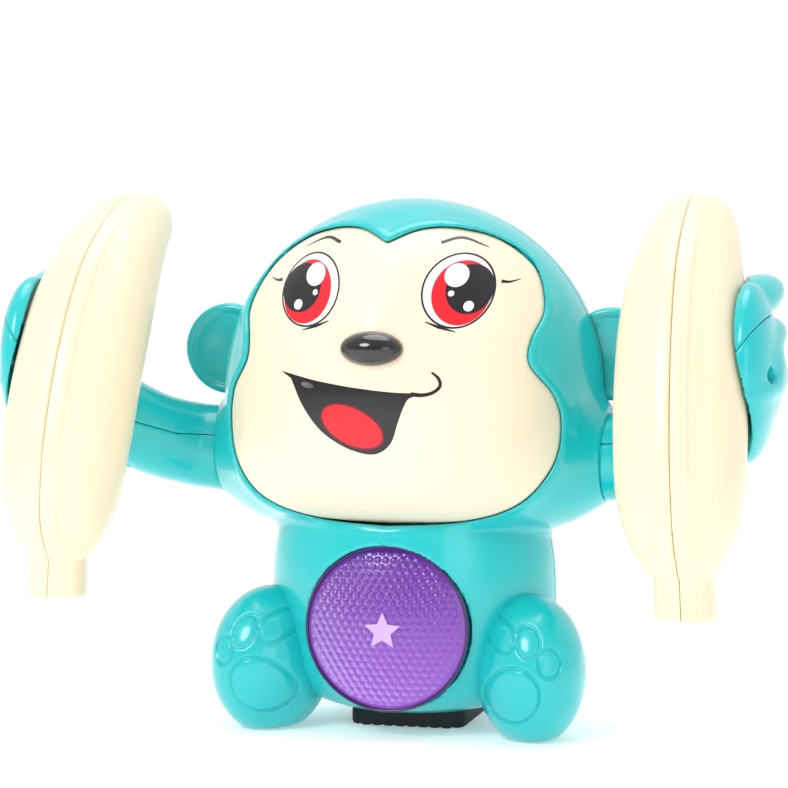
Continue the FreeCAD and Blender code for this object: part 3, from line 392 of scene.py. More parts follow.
def nearest_on(line, x, y, z):
    """Distance to a line's surface of varying radius, the radius, the place along it, and its height."""
    best = np.full(x.shape, 1e9)
    place = np.zeros(x.shape)
    off = np.zeros(x.shape)
    for i in range(len(line) - 1):
        a, b = line[i], line[i + 1]
        e = b[:3] - a[:3]
        t = np.clip(((x - a[0]) * e[0] + (y - a[1]) * e[1] + (z - a[2]) * e[2]) / e.dot(e), 0, 1)
        dx, dy, dz = x - a[0] - t * e[0], y - a[1] - t * e[1], z - a[2] - t * e[2]
        distance = np.sqrt(dx * dx + dy * dy + dz * dz) - (a[3] + t * (b[3] - a[3]))
        closer = distance < best
        best = np.where(closer, distance, best)
        place = np.where(closer, a[2] + t * e[2], place)
        off = np.where(closer, dy * e[2] - dz * e[1], off)
    return best, place, off


def banana_plain(x, y, z):
    """The banana without its rib, which the hand is shaped round."""
    best, _, _ = nearest_on(BANANA_LINE, x, y, z)
    return np.maximum(best, BANANA[0][1] - z)


def banana_mid_x(z):
    """x of the plane that splits the banana, at height z."""
    share = (z - BANANA[0][1]) / (BANANA[-1][1] - BANANA[0][1])
    return BANANA_STEM_X + (BANANA_TIP_X - BANANA_STEM_X) * share


def banana_body(x, y, z):
    """The banana with its raised double rib down the outer curve and a shallow valley on each side of it."""
    best, place, off = nearest_on(BANANA_LINE, x, y, z)
    u = x - banana_mid_x(z)
    front = smooth_step(0.0, -6.0, off)
    run = smooth_step(64.2, 65.0, place) * (1 - smooth_step(119.0, 139.0, place))
    rib = 0.75 * (1 - smooth_step(4.2, 5.0, np.abs(u))) - 0.45 * bump(u, 0.55)
    valley = -0.55 * bump(np.abs(u) - 7.6, 2.4)
    shape = best - front * run * (rib + valley)
    shape = shape + 0.18 * bump(u, 0.3)
    shape = smooth_max(smooth_max(shape, z - BANANA_LIMIT_Z, 1.5), BANANA_LIMIT_Y - y, 1.5)
    return smooth_max(shape, BANANA[0][1] - z, 0.8)


def banana_half(side):
    """side +1 is the outer shell, with a hole for the screw from the hand, and -1 is the inner one."""
    def field(x, y, z):
        outer = banana_body(x, y, z)
        shape = np.maximum(outer, -(outer + 1.8))
        u = side * (x - banana_mid_x(z))
        hole = np.hypot(y + 46.0, z - 105.0) - 1.0
        if side > 0:
            shape = np.maximum(shape, -np.maximum(hole, 90.0 - x))
        return smooth_max(shape, SEAM_GAP / 2 - u, 0.25)
    return field


ARM_LINE = spline(ARM, 5)


def finger(x, y, z, height):
    """A finger across the banana's outer side."""
    row = np.argmin(np.abs(BANANA_LINE[:, 2] - height))
    cx, cy, cz, radius = BANANA_LINE[row]
    u, v = turned(x - cx - radius - 1.3, y - cy - 7.2, math.radians(-14.0))
    return ellipsoid(u, v, z - height - 0.15 * v, FINGER_RADII)


def hand(x, y, z):
    """The palm and three fingers. The seam separates the first finger from the others."""
    palm = ellipsoid(x - PALM_CENTRE[0], y - PALM_CENTRE[1], z - PALM_CENTRE[2] + 2.0, PALM_RADII)
    shape = palm
    for height in FINGER_HEIGHTS:
        shape = smooth_min(shape, finger(x, y, z, height), 0.9)
    return shape


def seam_height(x):
    return np.interp(x, [p[0] for p in ARM_SEAM], [p[1] for p in ARM_SEAM])


def arm_half(side):
    """side +1 is the upper shell with the first finger, -1 the lower one."""
    def field(x, y, z):
        tube, _, _ = nearest_on(ARM_LINE, x, y, z)
        outer = smooth_min(np.maximum(tube, ARM[0][0] - x), hand(x, y, z), 5.0)
        outer = smooth_max(outer, x - HAND_LIMIT_X, 1.0)
        grip = banana_plain(x, y, z)
        room = np.maximum(tube + 1.8, -(grip - 2.2))
        shape = np.maximum(outer, -np.maximum(room, ARM[0][0] + 1.8 - x))
        for sx, sy, seat in ARM_SCREWS:
            across = np.hypot(x - sx, y - sy)
            shape = np.minimum(shape, np.maximum(across - 3.4, outer))
            shape = np.maximum(shape, -np.maximum(across - 2.6, z - seat))
            shape = np.maximum(shape, -(across - 1.0))
        shape = np.maximum(shape, -(grip - 1.0))
        shape = np.maximum(shape, -np.maximum(np.hypot(y, z - SHAFT_Z) - 5.6, x - 66.2))
        shape = np.maximum(shape, -np.maximum(np.hypot(y + 46.0, z - 105.0) - 1.0, 90.0 - x))
        shape = np.maximum(shape, -np.maximum(np.hypot(y + 46.0, z - 105.0) - 2.3, 106.3 - x))
        away = side * (z - seam_height(x))
        return smooth_max(shape, SEAM_GAP / 2 - away, 0.5)
    return field


def base_pad(x, y, z):
    """The rubber pad with fine grooves across its underside."""
    qx = np.maximum(np.abs(x) - 11.0, 0.0)
    qy = np.maximum(np.abs(y - 6.0) - 12.0, 0.0)
    side = np.hypot(qx, qy) - 5.9
    grooves = 0.35 * bump((x + 100.0) % 3.4 - 1.7, 0.5)
    return smooth_max(smooth_max(side, z - 5.2, 0.4), grooves - z, 0.3)


# ---- meshes --------------------------------------------------------------------------------------------
def sample(field, low, high, pitch):
    """The field on a grid. Only blocks near the surface are worked out in full."""
    block = 8
    counts = [int(math.ceil((b - a) / pitch / block)) for a, b in zip(low, high)]
    centres = [low[i] + pitch * block * (np.arange(counts[i]) + 0.5) for i in range(3)]
    cx, cy, cz = np.meshgrid(*centres, indexing="ij")
    coarse = field(cx, cy, cz)
    values = np.repeat(np.repeat(np.repeat(np.sign(coarse) * 4 * pitch, block, 0), block, 1), block, 2)
    values = values.astype(np.float32)
    near = np.argwhere(np.abs(coarse) < pitch * block * 1.25)
    step = pitch * np.arange(block)
    ox, oy, oz = np.meshgrid(step, step, step, indexing="ij")
    for start in range(0, len(near), 512):
        rows = near[start:start + 512]
        base = [low[i] + pitch * block * rows[:, i][:, None, None, None] for i in range(3)]
        part = field(base[0] + ox, base[1] + oy, base[2] + oz)
        for k, (i, j, m) in enumerate(rows):
            values[i * block:(i + 1) * block, j * block:(j + 1) * block, m * block:(m + 1) * block] = part[k]
    return np.clip(values, -4 * pitch, 4 * pitch)


def gradient(field, p, h=0.02):
    g = np.empty_like(p)
    for axis in range(3):
        step = np.zeros(3)
        step[axis] = h
        a, b = p + step, p - step
        g[:, axis] = field(a[:, 0], a[:, 1], a[:, 2]) - field(b[:, 0], b[:, 1], b[:, 2])
    return g / (2 * h)


def settle(field, points, pitch):
    """Moves each point onto the field's zero surface."""
    for _ in range(2):
        value = field(points[:, 0], points[:, 1], points[:, 2])
        g = gradient(field, points)
        size = np.maximum((g * g).sum(1), 0.25)
        move = g * (value / size)[:, None]
        length = np.sqrt((move * move).sum(1))
        limit = np.minimum(1.0, 0.35 * pitch / np.maximum(length, 1e-9))
        points = points - move * limit[:, None]
    return points


def make_object(name, points, faces, smooth=True):
    mesh = bpy.data.meshes.new(name)
    mesh.from_pydata((np.asarray(points) * 0.001).tolist(), [], [tuple(f) for f in faces])
    mesh.validate()
    mesh.update()
    if smooth:
        mesh.polygons.foreach_set("use_smooth", [True] * len(mesh.polygons))
    piece = bpy.data.objects.new(name, mesh)
    bpy.context.scene.collection.objects.link(piece)
    return piece


def solid(field, low, high, pitch):
    """A closed mesh of the space where the field is negative."""
    values = sample(field, low, high, pitch)
    grid = openvdb.FloatGrid(4 * pitch)
    grid.copyFromArray(values)
    points, quads = grid.convertToQuads(0.0)
    points = np.asarray(points, float) * pitch + np.array(low)
    points = settle(field, points, pitch)
    quads = np.asarray(quads)[:, ::-1]
    return points, quads


def signed_volume(points, quads):
    """Positive where the faces look outwards."""
    a, b, c, d = (points[quads[:, i]] for i in range(4))
    return (np.einsum("ij,ij->i", a, np.cross(b, c)) + np.einsum("ij,ij->i", a, np.cross(c, d))).sum() / 6


def place(name, shape, body_name, nodes, material, slot):
    points, quads = shape
    if signed_volume(points, quads) < 0:
        quads = quads[:, ::-1]
    piece = make_object(name, points, quads)
    dress(piece, body_name, nodes, material)
    return piece


def dress(piece, body_name, nodes, material):
    """Gives a piece its finish, its body and the nodes that it replaces."""
    piece.data.materials.append(material)
    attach(piece, body_name)
    if nodes:
        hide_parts(*nodes)


def mirror(shape):
    """The same shape on the other side, with its faces turned back outwards."""
    points, quads = shape
    return points * np.array([-1.0, 1.0, 1.0]), quads[:, ::-1]


# ---- printed marks and a painted highlight -------------------------------------------------------------
def face_depth(x, z):
    """y of the face's outside at x and z."""
    front = np.full(x.shape, -58.0)
    back = np.full(x.shape, -14.0)
    for _ in range(30):
        middle = (front + back) / 2
        outside = face_surface(x, middle, z) > 0
        front = np.where(outside, middle, front)
        back = np.where(outside, back, middle)
    return (front + back) / 2


def film_from_grid(rows, layer, closed):
    """A thin closed skin over a grid of (x, z) points that lies on the face. layer counts from 1 upwards."""
    rows = np.asarray(rows, float)
    n, m = rows.shape[:2]
    flat = rows.reshape(-1, 2)
    y = face_depth(flat[:, 0], flat[:, 1])
    front = np.column_stack([flat[:, 0], y - 0.05 * layer, flat[:, 1]])
    back = np.column_stack([flat[:, 0], y + 0.25, flat[:, 1]])
    faces = []
    for i in range(n - 1):
        for j in range(m if closed else m - 1):
            k = (j + 1) % m
            faces.append((i * m + j, i * m + k, (i + 1) * m + k, (i + 1) * m + j))
    count = n * m
    faces += [tuple(count + v for v in reversed(face)) for face in faces]
    edge = [(n - 1) * m + j for j in range(m)]
    if closed:
        front, back, faces, count = close_centre(front, back, faces, n, m)
        ring = edge + edge[:1]
    else:
        ring = list(range(m)) + [i * m + m - 1 for i in range(1, n)]
        ring += [(n - 1) * m + j for j in range(m - 2, -1, -1)] + [i * m for i in range(n - 2, -1, -1)]
    for a, b in zip(ring, ring[1:]):
        faces.append((a, a + count, b + count, b) if closed else (a, b, b + count, a + count))
    return np.vstack([front, back]), faces


def close_centre(front, back, faces, n, m):
    """Adds a middle point to each side of a round film and joins it to the first ring."""
    count = n * m
    moved = [tuple(v + 1 if v >= count else v for v in face) for face in faces]
    centre_front, centre_back = front[:m].mean(0), back[:m].mean(0)
    front = np.vstack([front, centre_front])
    back = np.vstack([back, centre_back])
    total = count + 1
    for j in range(m):
        k = (j + 1) % m
        moved.append((count, k, j))
        moved.append((total + count, total + j, total + k))
    return front, back, moved, total


def patch(outline, layer):
    """A film filling an outline that can be seen whole from its middle."""
    outline = np.asarray(outline, float)
    middle = (outline.max(0) + outline.min(0)) / 2
    rings = [middle + (outline - middle) * share for share in np.linspace(0.06, 1.0, 18)]
    return film_from_grid(rings, layer, True)


def oval(cx, cz, rx, rz, tilt=0.0, steps=72):
    """An ellipse's outline, tilted by degrees."""
    turn = np.linspace(0, 2 * math.pi, steps, endpoint=False)
    u, w = rx * np.cos(turn), rz * np.sin(turn)
    c, s = math.cos(math.radians(tilt)), math.sin(math.radians(tilt))
    return np.column_stack([cx + u * c - w * s, cz + u * s + w * c])


def stroke(points, widths, layer):
    """A film along a line, with a full width at each of its points."""
    line = spline(points, 8)
    width = np.interp(np.linspace(0, 1, len(line)), np.linspace(0, 1, len(widths)), widths)
    along = np.gradient(line, axis=0)
    along /= np.linalg.norm(along, axis=1)[:, None]
    side = np.column_stack([-along[:, 1], along[:, 0]])
    rows = [line + side * (width * share)[:, None] for share in (-0.5, -0.25, 0.0, 0.25, 0.5)]
    return film_from_grid(rows, layer, False)


def joined(films):
    """Several films as one mesh."""
    points, faces, start = [], [], 0
    for p, f in films:
        points.append(p)
        faces += [tuple(v + start for v in face) for face in f]
        start += len(p)
    return np.vstack(points), faces


def print_piece(name, films, material):
    points, faces = joined(films)
    piece = make_object(name, points, faces, smooth=False)
    piece.data.materials.append(material)
    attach(piece, "casing")
    return piece


EYE_X = 21.0
EYE_Z = 126.0
EYE_RX = 9.4
EYE_RZ = 10.2
# Lines round an eye: the points as x and z, then the widths along them.
BROW = (((14.4, 138.9), (19.5, 140.2), (26.4, 137.6)), (0.9, 0.8, 0.2))
LASH = (((31.4, 128.4), (33.4, 128.2), (35.8, 128.9)), (0.9, 0.6, 0.2))
LOWER_LID = (((13.6, 117.7), (17.4, 116.2), (21.6, 115.0)), (0.25, 0.8, 0.25))
MOUTH_TOP = ((-26.8, 103.8), (-20.0, 102.4), (-14.5, 101.4), (-4.5, 100.0), (6.2, 98.9), (12.4, 98.7))
MOUTH_LOW = ((12.4, 97.9), (10.3, 96.6), (8.2, 91.6), (6.0, 85.3), (2.7, 82.4), (-1.3, 81.9), (-7.8, 83.9),
             (-14.5, 88.2), (-20.0, 94.9), (-23.8, 102.0), (-26.8, 103.6))
MOUTH_CURL = ((11.4, 98.4), (14.5, 98.2), (17.2, 98.9), (18.9, 100.6), (18.4, 102.7), (16.6, 104.3))
TONGUE = (-5.0, 89.4, 9.2, 4.9, -24.0)


def eye_films(side):
    """The prints of one eye by colour. side is +1 or -1 along x."""
    def at(outwards, up, rx, rz, layer):
        return patch(oval(side * (EYE_X + outwards), EYE_Z + up, rx, rz), layer)
    black = [at(0.0, 0.0, EYE_RX, EYE_RZ, 1), at(2.9, 0.4, 6.1, 6.7, 4)]
    white = [at(0.0, 0.0, EYE_RX - 0.5, EYE_RZ - 0.5, 2), at(-0.9, 4.1, 3.1, 3.2, 5)]
    white += [at(-1.7, -0.8, 0.8, 0.8, 5), at(3.2, -4.2, 1.35, 1.4, 5)]
    red = [at(0.9, -0.6, 7.6, 8.7, 3)]
    for points, widths in (BROW, LASH, LOWER_LID):
        black.append(stroke([(side * u, w) for u, w in points], widths, 1))
    return black, white, red


def face_prints(looks):
    black, white, red = [], [], []
    for side in (1, -1):
        b, w, r = eye_films(side)
        black += b
        white += w
        red += r
    top = spline(MOUTH_TOP, 8)
    low = spline(MOUTH_LOW, 8)
    black.append(patch(np.vstack([top, low])[:-1], 1))
    black.append(stroke(MOUTH_CURL, (1.2, 1.0, 0.9, 0.9, 0.8, 0.5), 1))
    cx, cz, rx, rz, tilt = TONGUE
    dark = [patch(oval(cx, cz, rx + 0.5, rz + 0.5, tilt), 2)]
    tongue = [patch(oval(cx, cz, rx, rz, tilt), 3)]
    # A small grey oval at the upper left of the mouth is a painted highlight: the gloss on the black mouth,
    # painted in as a lighter spot.
    painted_glint = [patch(oval(-18.4, 100.3, 2.0, 0.75, -12.0), 2)]
    print_piece("print_black", black, looks["print_black"])
    print_piece("print_white", white, looks["print_white"])
    print_piece("print_red", red + tongue, looks["print_red"])
    print_piece("print_dark_red", dark, looks["print_dark_red"])
    print_piece("mouth_painted_highlight", painted_glint, looks["mouth_painted_highlight"])


# ---- belly light ---------------------------------------------------------------------------------------
RING_BACK = LENS_FRONT + LENS_RISE + 3.6
# The ring's section: how far outside the lens's edge, and how far in front of the ring's back.
RING_SECTION = (
    (0.8, 0.0), (-2.0, 0.0), (-2.0, 1.2), (0.02, 1.2), (0.05, 3.9), (0.2, 4.15), (0.6, 4.15), (0.8, 3.9),
)


def star_outline(size, steps=5):
    """The corners of a five-pointed star round the lens's middle."""
    turns = [math.pi / 2 + math.pi * k / steps for k in range(2 * steps)]
    reach = [size if k % 2 == 0 else size * 0.46 for k in range(2 * steps)]
    return np.array([(r * math.cos(t), LENS_Z + r * math.sin(t)) for r, t in zip(reach, turns)])


def lens_front(x, z):
    """y of the lens's outside: a shallow dome with a field of small round beads."""
    radius = (LENS_R ** 2 + LENS_RISE ** 2) / (2 * LENS_RISE)
    r2 = x * x + (z - LENS_Z) ** 2
    dome = LENS_FRONT + radius - np.sqrt(radius ** 2 - r2)
    row = np.round((z - LENS_Z) / 1.95)
    shift = np.where(row % 2 == 0, 0.0, 1.15)
    u = (x - shift) - 2.3 * np.round((x - shift) / 2.3)
    w = (z - LENS_Z) - 1.95 * row
    bead = np.clip(1.0 - (u * u + w * w) / 0.72, 0.0, 1.0)
    fade = np.clip((LENS_R - 0.8 - np.sqrt(r2)) / 0.8, 0.0, 1.0)
    return dome + 0.33 - 0.33 * np.sqrt(bead) * fade


def lens_mesh():
    """A closed lens: the beaded front over a plain dome, joined along the edge."""
    rings, around = 120, 420
    rows = [(0.0, LENS_Z)]
    for i in range(1, rings + 1):
        r = LENS_R * i / rings
        turn = np.linspace(0, 2 * math.pi, around, endpoint=False)
        rows += list(zip(r * np.cos(turn), LENS_Z + r * np.sin(turn)))
    flat = np.array(rows)
    y = lens_front(flat[:, 0], flat[:, 1])
    radius = (LENS_R ** 2 + LENS_RISE ** 2) / (2 * LENS_RISE)
    r2 = flat[:, 0] ** 2 + (flat[:, 1] - LENS_Z) ** 2
    inner = LENS_FRONT + radius - np.sqrt((radius - 1.8) ** 2 - r2)
    front = np.column_stack([flat[:, 0], y, flat[:, 1]])
    back = np.column_stack([flat[:, 0], np.maximum(inner, y + 0.8), flat[:, 1]])
    count = len(flat)
    faces = []
    for j in range(around):
        k = (j + 1) % around
        faces.append((0, 1 + k, 1 + j))
    for i in range(rings - 1):
        a, b = 1 + i * around, 1 + (i + 1) * around
        for j in range(around):
            k = (j + 1) % around
            faces.append((a + j, a + k, b + k, b + j))
    faces += [tuple(count + v for v in reversed(face)) for face in faces]
    last = 1 + (rings - 1) * around
    for j in range(around):
        k = (j + 1) % around
        faces.append((last + j, last + k, count + last + k, count + last + j))
    return np.vstack([front, back]), faces


def star_mesh(size):
    """A plain star that lies on the middle of the lens."""
    outline = star_outline(size)
    n = len(outline)
    front = LENS_FRONT - 0.12
    back = LENS_FRONT + 1.4
    points = [(x, front, z) for x, z in outline] + [(x, back, z) for x, z in outline]
    points += [(0.0, front, LENS_Z), (0.0, back, LENS_Z)]
    faces = []
    for j in range(n):
        k = (j + 1) % n
        faces += [(2 * n, k, j), (2 * n + 1, n + j, n + k), (j, k, n + k, n + j)]
    return np.array(points), faces


def turned_ring(profile, steps=160):
    """A closed section of (radius, y) turned about the lens's axis."""
    points, faces = [], []
    m = len(profile)
    for i in range(steps):
        turn = 2 * math.pi * i / steps
        for r, y in profile:
            points.append((r * math.cos(turn), y, LENS_Z + r * math.sin(turn)))
        for j in range(m):
            k = (j + 1) % m
            n = ((i + 1) % steps) * m
            faces.append((i * m + j, i * m + k, n + k, n + j))
    return np.array(points), faces


# ---- finishes ------------------------------------------------------------------------------------------
def finish_of(name, colour, shade, roughness, scale=45.0, coat=0.0, metallic=0.0, grain=0.0, extra=()):
    """A procedural finish: two close colours mixed by a fine cloud, on a shader with constant settings."""
    material = bpy.data.materials.new(name)
    material.use_nodes = True
    tree = material.node_tree
    shader = tree.nodes["Principled BSDF"]
    where = tree.nodes.new("ShaderNodeTexCoord")
    cloud = tree.nodes.new("ShaderNodeTexNoise")
    cloud.inputs["Scale"].default_value = scale
    cloud.inputs["Detail"].default_value = 3.0
    ramp = tree.nodes.new("ShaderNodeValToRGB")
    ramp.color_ramp.elements[0].position = 0.3
    ramp.color_ramp.elements[1].position = 0.7
    ramp.color_ramp.elements[0].color = (*shade, 1.0)
    ramp.color_ramp.elements[1].color = (*colour, 1.0)
    tree.links.new(where.outputs["Object"], cloud.inputs["Vector"])
    tree.links.new(cloud.outputs["Fac"], ramp.inputs["Fac"])
    tree.links.new(ramp.outputs["Color"], shader.inputs["Base Color"])
    shader.inputs["Roughness"].default_value = roughness
    shader.inputs["Metallic"].default_value = metallic
    shader.inputs["Coat Weight"].default_value = coat
    shader.inputs["Coat Roughness"].default_value = 0.08
    for socket, value in extra:
        shader.inputs[socket].default_value = value
    if grain > 0:
        fine = tree.nodes.new("ShaderNodeTexNoise")
        fine.inputs["Scale"].default_value = 900.0
        relief = tree.nodes.new("ShaderNodeBump")
        relief.inputs["Strength"].default_value = grain
        relief.inputs["Distance"].default_value = 0.0002
        tree.links.new(where.outputs["Object"], fine.inputs["Vector"])
        tree.links.new(fine.outputs["Fac"], relief.inputs["Height"])
        tree.links.new(relief.outputs["Normal"], shader.inputs["Normal"])
    return material


def lens_finish():
    """Purple translucent plastic, deeper at the top and lit from below."""
    material = bpy.data.materials.new("lens")
    material.use_nodes = True
    tree = material.node_tree
    shader = tree.nodes["Principled BSDF"]
    where = tree.nodes.new("ShaderNodeTexCoord")
    split = tree.nodes.new("ShaderNodeSeparateXYZ")
    span = tree.nodes.new("ShaderNodeMapRange")
    span.inputs["From Min"].default_value = (LENS_Z - LENS_R) * 0.001
    span.inputs["From Max"].default_value = (LENS_Z + LENS_R) * 0.001
    ramp = tree.nodes.new("ShaderNodeValToRGB")
    ramp.color_ramp.elements[0].color = (0.36, 0.10, 0.66, 1.0)
    ramp.color_ramp.elements[1].color = (0.10, 0.008, 0.29, 1.0)
    tree.links.new(where.outputs["Object"], split.inputs["Vector"])
    tree.links.new(split.outputs["Z"], span.inputs["Value"])
    tree.links.new(span.outputs["Result"], ramp.inputs["Fac"])
    tree.links.new(ramp.outputs["Color"], shader.inputs["Base Color"])
    shader.inputs["Roughness"].default_value = 0.16
    shader.inputs["Coat Weight"].default_value = 0.6
    shader.inputs["Coat Roughness"].default_value = 0.05
    shader.inputs["Transmission Weight"].default_value = 0.25
    shader.inputs["Emission Color"].default_value = (0.30, 0.05, 0.62, 1.0)
    shader.inputs["Emission Strength"].default_value = 0.12
    return material


def make_looks():
    """Every finish, by the material slot or the print that it belongs to."""
    glow = (("Subsurface Weight", 0.06), ("Subsurface Radius", (0.004, 0.003, 0.002)))
    cream = ((0.91, 0.80, 0.62), (0.90, 0.785, 0.60))
    ivory = ((0.93, 0.80, 0.58), (0.92, 0.785, 0.555))
    return {
        "body_plastic": finish_of("turquoise", (0.012, 0.545, 0.57), (0.010, 0.52, 0.55), 0.24, coat=0.35),
        "face_plastic": finish_of("cream", *cream, 0.33, coat=0.15, extra=glow),
        "banana_plastic": finish_of("ivory", *ivory, 0.34, coat=0.12, extra=glow),
        "black_plastic": finish_of("black", (0.008, 0.008, 0.01), (0.005, 0.005, 0.006), 0.14, coat=0.7),
        "pad_rubber": finish_of("rubber", (0.02, 0.02, 0.02), (0.012, 0.012, 0.012), 0.75, grain=0.3),
        "lens_plastic": lens_finish(),
        "ring_plastic": finish_of("navy", (0.02, 0.012, 0.09), (0.015, 0.010, 0.07), 0.2, coat=0.5),
        "white_plastic": finish_of("white", (0.80, 0.80, 0.78), (0.76, 0.76, 0.74), 0.45),
        "gear_plastic": finish_of("acetal", (0.84, 0.83, 0.77), (0.80, 0.79, 0.73), 0.4),
        "board": finish_of("laminate", (0.02, 0.16, 0.05), (0.015, 0.12, 0.04), 0.4, scale=200.0),
        "led_plastic": finish_of("clear", (0.82, 0.78, 0.90), (0.78, 0.74, 0.88), 0.1, coat=0.4),
        "cell_wrap": finish_of("sleeve", (0.02, 0.022, 0.03), (0.015, 0.017, 0.022), 0.3, coat=0.3),
        "steel": finish_of("steel", (0.62, 0.62, 0.64), (0.50, 0.50, 0.52), 0.28, scale=300.0, metallic=1.0),
        "brass": finish_of("brass", (0.72, 0.52, 0.22), (0.62, 0.44, 0.18), 0.28, scale=300.0, metallic=1.0),
        "print_black": finish_of("ink_black", (0.012, 0.010, 0.014), (0.008, 0.007, 0.010), 0.25, coat=0.2),
        "print_white": finish_of("ink_white", (0.90, 0.88, 0.90), (0.86, 0.83, 0.87), 0.3),
        "print_red": finish_of("ink_red", (0.80, 0.012, 0.025), (0.75, 0.010, 0.02), 0.28),
        "print_dark_red": finish_of("ink_dark_red", (0.22, 0.008, 0.01), (0.18, 0.006, 0.008), 0.3),
        # The painted highlight: a grey for the gloss spot on the mouth, painted in.
        "mouth_painted_highlight": finish_of("painted_highlight_grey", (0.20, 0.18, 0.19), (0.10, 0.09, 0.10), 0.3, scale=300.0),
        "star": finish_of("emblem", (0.62, 0.42, 0.80), (0.55, 0.35, 0.75), 0.25, coat=0.5),
    }


# ---- building ------------------------------------------------------------------------------------------
def cell(fine):
    """The grid step in mm, as given, the same for every picture."""
    return fine


def build_casing(looks):
    teal = looks["body_plastic"]
    front = solid(front_shell, (-60.0, -54.0, -2.0), (60.0, 2.0, 154.0), cell(0.75))
    place("hood", front, "casing", ["front_shell"], teal, "body_plastic")
    back = solid(back_shell, (-60.0, -1.0, -2.0), (60.0, 52.0, 154.0), cell(0.75))
    place("back_cover", back, "casing", ["back_shell"], teal, "body_plastic")
    left = solid(front_foot, (18.0, -42.0, -2.0), (58.0, 2.0, 46.0), cell(0.38))
    place("foot_left", left, "casing", [], teal, "body_plastic")
    place("foot_right", mirror(left), "casing", [], teal, "body_plastic")
    cup = solid(ear, (40.0, -2.0, 90.0), (74.0, 12.0, 124.0), cell(0.35))
    place("ear_cup_left", cup, "casing", ["ear_left"], teal, "body_plastic")
    place("ear_cup_right", mirror(cup), "casing", ["ear_right"], teal, "body_plastic")
    plate = solid(face_plate, (-52.0, -54.0, 56.0), (52.0, -10.0, 150.0), cell(0.6))
    place("face", plate, "casing", ["face_plate"], looks["face_plastic"], "face_plastic")
    tip = solid(nose, (-10.0, -56.0, 104.0), (10.0, -40.0, 117.0), cell(0.25))
    place("nose_cap", tip, "casing", ["nose"], looks["black_plastic"], "black_plastic")
    sole = solid(base_pad, (-18.0, -13.0, -1.0), (18.0, 25.0, 6.5), cell(0.35))
    place("sole_pad", sole, "casing", ["base_pad"], looks["pad_rubber"], "pad_rubber")
    door = solid(battery_door, (-28.0, 9.0, 15.0), (28.0, 38.0, 59.0), cell(0.5))
    place("door_panel", door, "battery_door", ["battery_door"], teal, "body_plastic")


def build_lens(looks):
    points, faces = lens_mesh()
    piece = make_object("lens", points, faces)
    dress(piece, "casing", ["belly_lens"], looks["lens_plastic"])
    points, faces = turned_ring([(LENS_R + out, RING_BACK - ahead) for out, ahead in RING_SECTION])
    ring = make_object("lens_rim", points, faces)
    dress(ring, "casing", ["lens_ring"], looks["ring_plastic"])
    points, faces = star_mesh(STAR_SIZE)
    emblem = make_object("lens_star", points, faces, smooth=False)
    dress(emblem, "casing", [], looks["star"])


def place_pair(name, node, shape, material, slot):
    """A piece on the left arm and its mirror image on the right one."""
    place(name + "_left", shape, "arms", [node + "_left"], material, slot)
    place(name + "_right", mirror(shape), "arms", [node + "_right"], material, slot)


def build_arms(looks):
    for word, side in (("upper", 1), ("lower", -1)):
        shape = solid(arm_half(side), (54.0, -60.0, 58.0), (113.0, 18.0, 136.0), cell(0.5))
        place_pair("arm_" + word, "arm_%s_shell" % word, shape, looks["body_plastic"], "body_plastic")
    for word, side in (("inner", -1), ("outer", 1)):
        shape = solid(banana_half(side), (62.0, -77.0, 39.0), (106.0, 12.0, 152.0), cell(0.5))
        ivory = looks["banana_plastic"]
        place_pair("banana_" + word, "banana_%s_half" % word, shape, ivory, "banana_plastic")


def dress_frame(looks):
    """A procedural finish on every node that stays as it is."""
    slots = {row["node"]: row["material_slot"] for row in frame["record"]["subparts"]}
    for name, node in frame["nodes"].items():
        node.data.materials.clear()
        node.data.materials.append(looks[slots[name]])


# ---- studio, in metres ---------------------------------------------------------------------------------
WORLD_FRONT = 0.45
WORLD_BACK = 1.02
FLOOR_HALF = 6.0
CAMERA_AT = (0.1973, -0.7747, 0.1530)
CAMERA_TARGET = (0.0, -0.003, 0.0785)
CAMERA_SHIFT = (-0.023, 0.073)
FOCAL_LENGTH = 127.2
SENSOR_WIDTH = 36.0


def area_light(name, place_at, target, size, power):
    lamp = bpy.data.lights.new(name, "AREA")
    lamp.shape = "DISK"
    lamp.size = size
    lamp.energy = power
    light = bpy.data.objects.new(name, lamp)
    light.location = place_at
    light.rotation_euler = (Vector(target) - Vector(place_at)).to_track_quat("-Z", "Y").to_euler()
    bpy.context.scene.collection.objects.link(light)


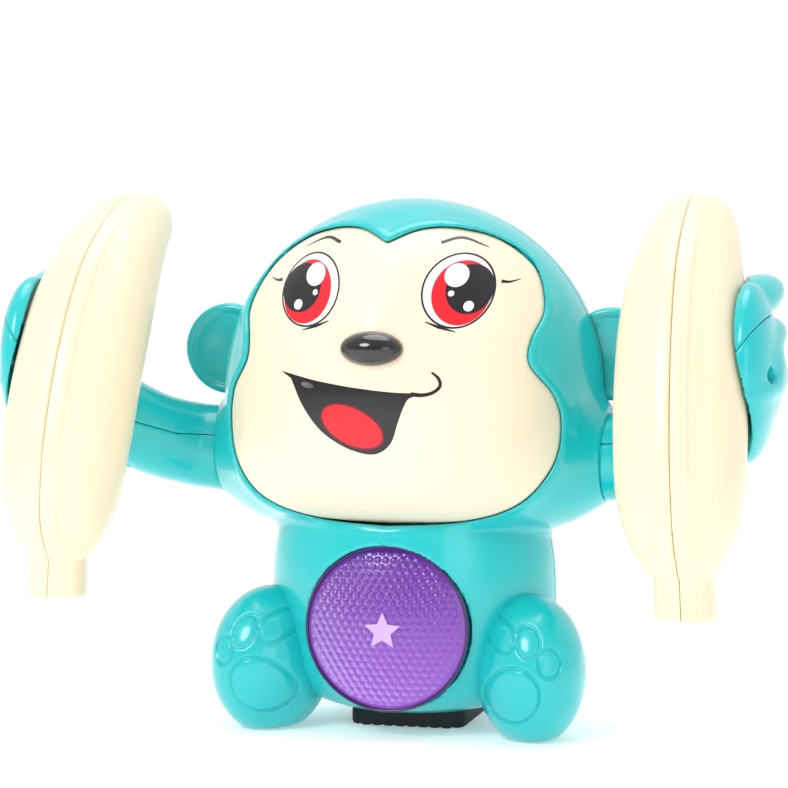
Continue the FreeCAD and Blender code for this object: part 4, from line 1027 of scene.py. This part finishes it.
def build_world():
    """A white surround, brighter behind the toy than in front of it."""
    world = bpy.data.worlds.new("studio")
    world.use_nodes = True
    tree = world.node_tree
    tree.nodes["Background"].inputs["Color"].default_value = (1.0, 1.0, 1.0, 1.0)
    where = tree.nodes.new("ShaderNodeTexCoord")
    split = tree.nodes.new("ShaderNodeSeparateXYZ")
    span = tree.nodes.new("ShaderNodeMapRange")
    span.inputs["From Min"].default_value = -1.0
    span.inputs["From Max"].default_value = 0.7
    span.inputs["To Min"].default_value = WORLD_FRONT
    span.inputs["To Max"].default_value = WORLD_BACK
    tree.links.new(where.outputs["Generated"], split.inputs["Vector"])
    tree.links.new(split.outputs["Y"], span.inputs["Value"])
    tree.links.new(span.outputs["Result"], tree.nodes["Background"].inputs["Strength"])
    bpy.context.scene.world = world


def build_studio():
    corners = [(u * FLOOR_HALF, v * FLOOR_HALF, 0) for u, v in ((-1, -1), (1, -1), (1, 1), (-1, 1))]
    mesh = bpy.data.meshes.new("floor")
    mesh.from_pydata(corners, [], [(0, 1, 2, 3)])
    floor = bpy.data.objects.new("floor", mesh)
    bpy.context.scene.collection.objects.link(floor)
    lift = (("Emission Color", (1.0, 1.0, 1.0, 1.0)), ("Emission Strength", 0.30))
    paper = finish_of("paper", (0.96, 0.96, 0.96), (0.95, 0.95, 0.95), 0.8, 3.0, extra=lift)
    floor.data.materials.append(paper)
    build_world()
    middle = (0.0, 0.0, 0.08)
    area_light("key", (-0.35, -0.85, 0.75), middle, 0.45, 5.0)
    area_light("fill", (0.8, -0.9, 0.30), middle, 0.6, 1.2)
    area_light("top", (0.0, 0.15, 1.1), middle, 0.8, 4.0)
    bpy.context.scene.view_settings.view_transform = "Standard"


def build_camera():
    """Slightly above the face and to the toy's left, shifted so that the toy sits low in the picture."""
    lens = bpy.data.cameras.new("camera")
    lens.sensor_width = SENSOR_WIDTH
    lens.lens = FOCAL_LENGTH
    lens.clip_end = 20.0
    camera = bpy.data.objects.new("camera", lens)
    camera.location = CAMERA_AT
    aim = (Vector(CAMERA_TARGET) - Vector(CAMERA_AT)).to_track_quat("-Z", "Y")
    camera.rotation_euler = aim.to_euler()
    lens.shift_x = CAMERA_SHIFT[0]
    lens.shift_y = CAMERA_SHIFT[1]
    bpy.context.scene.collection.objects.link(camera)
    bpy.context.scene.camera = camera


def main():
    looks = make_looks()
    dress_frame(looks)
    build_casing(looks)
    build_lens(looks)
    build_arms(looks)
    face_prints(looks)
    build_studio()
    build_camera()


main()
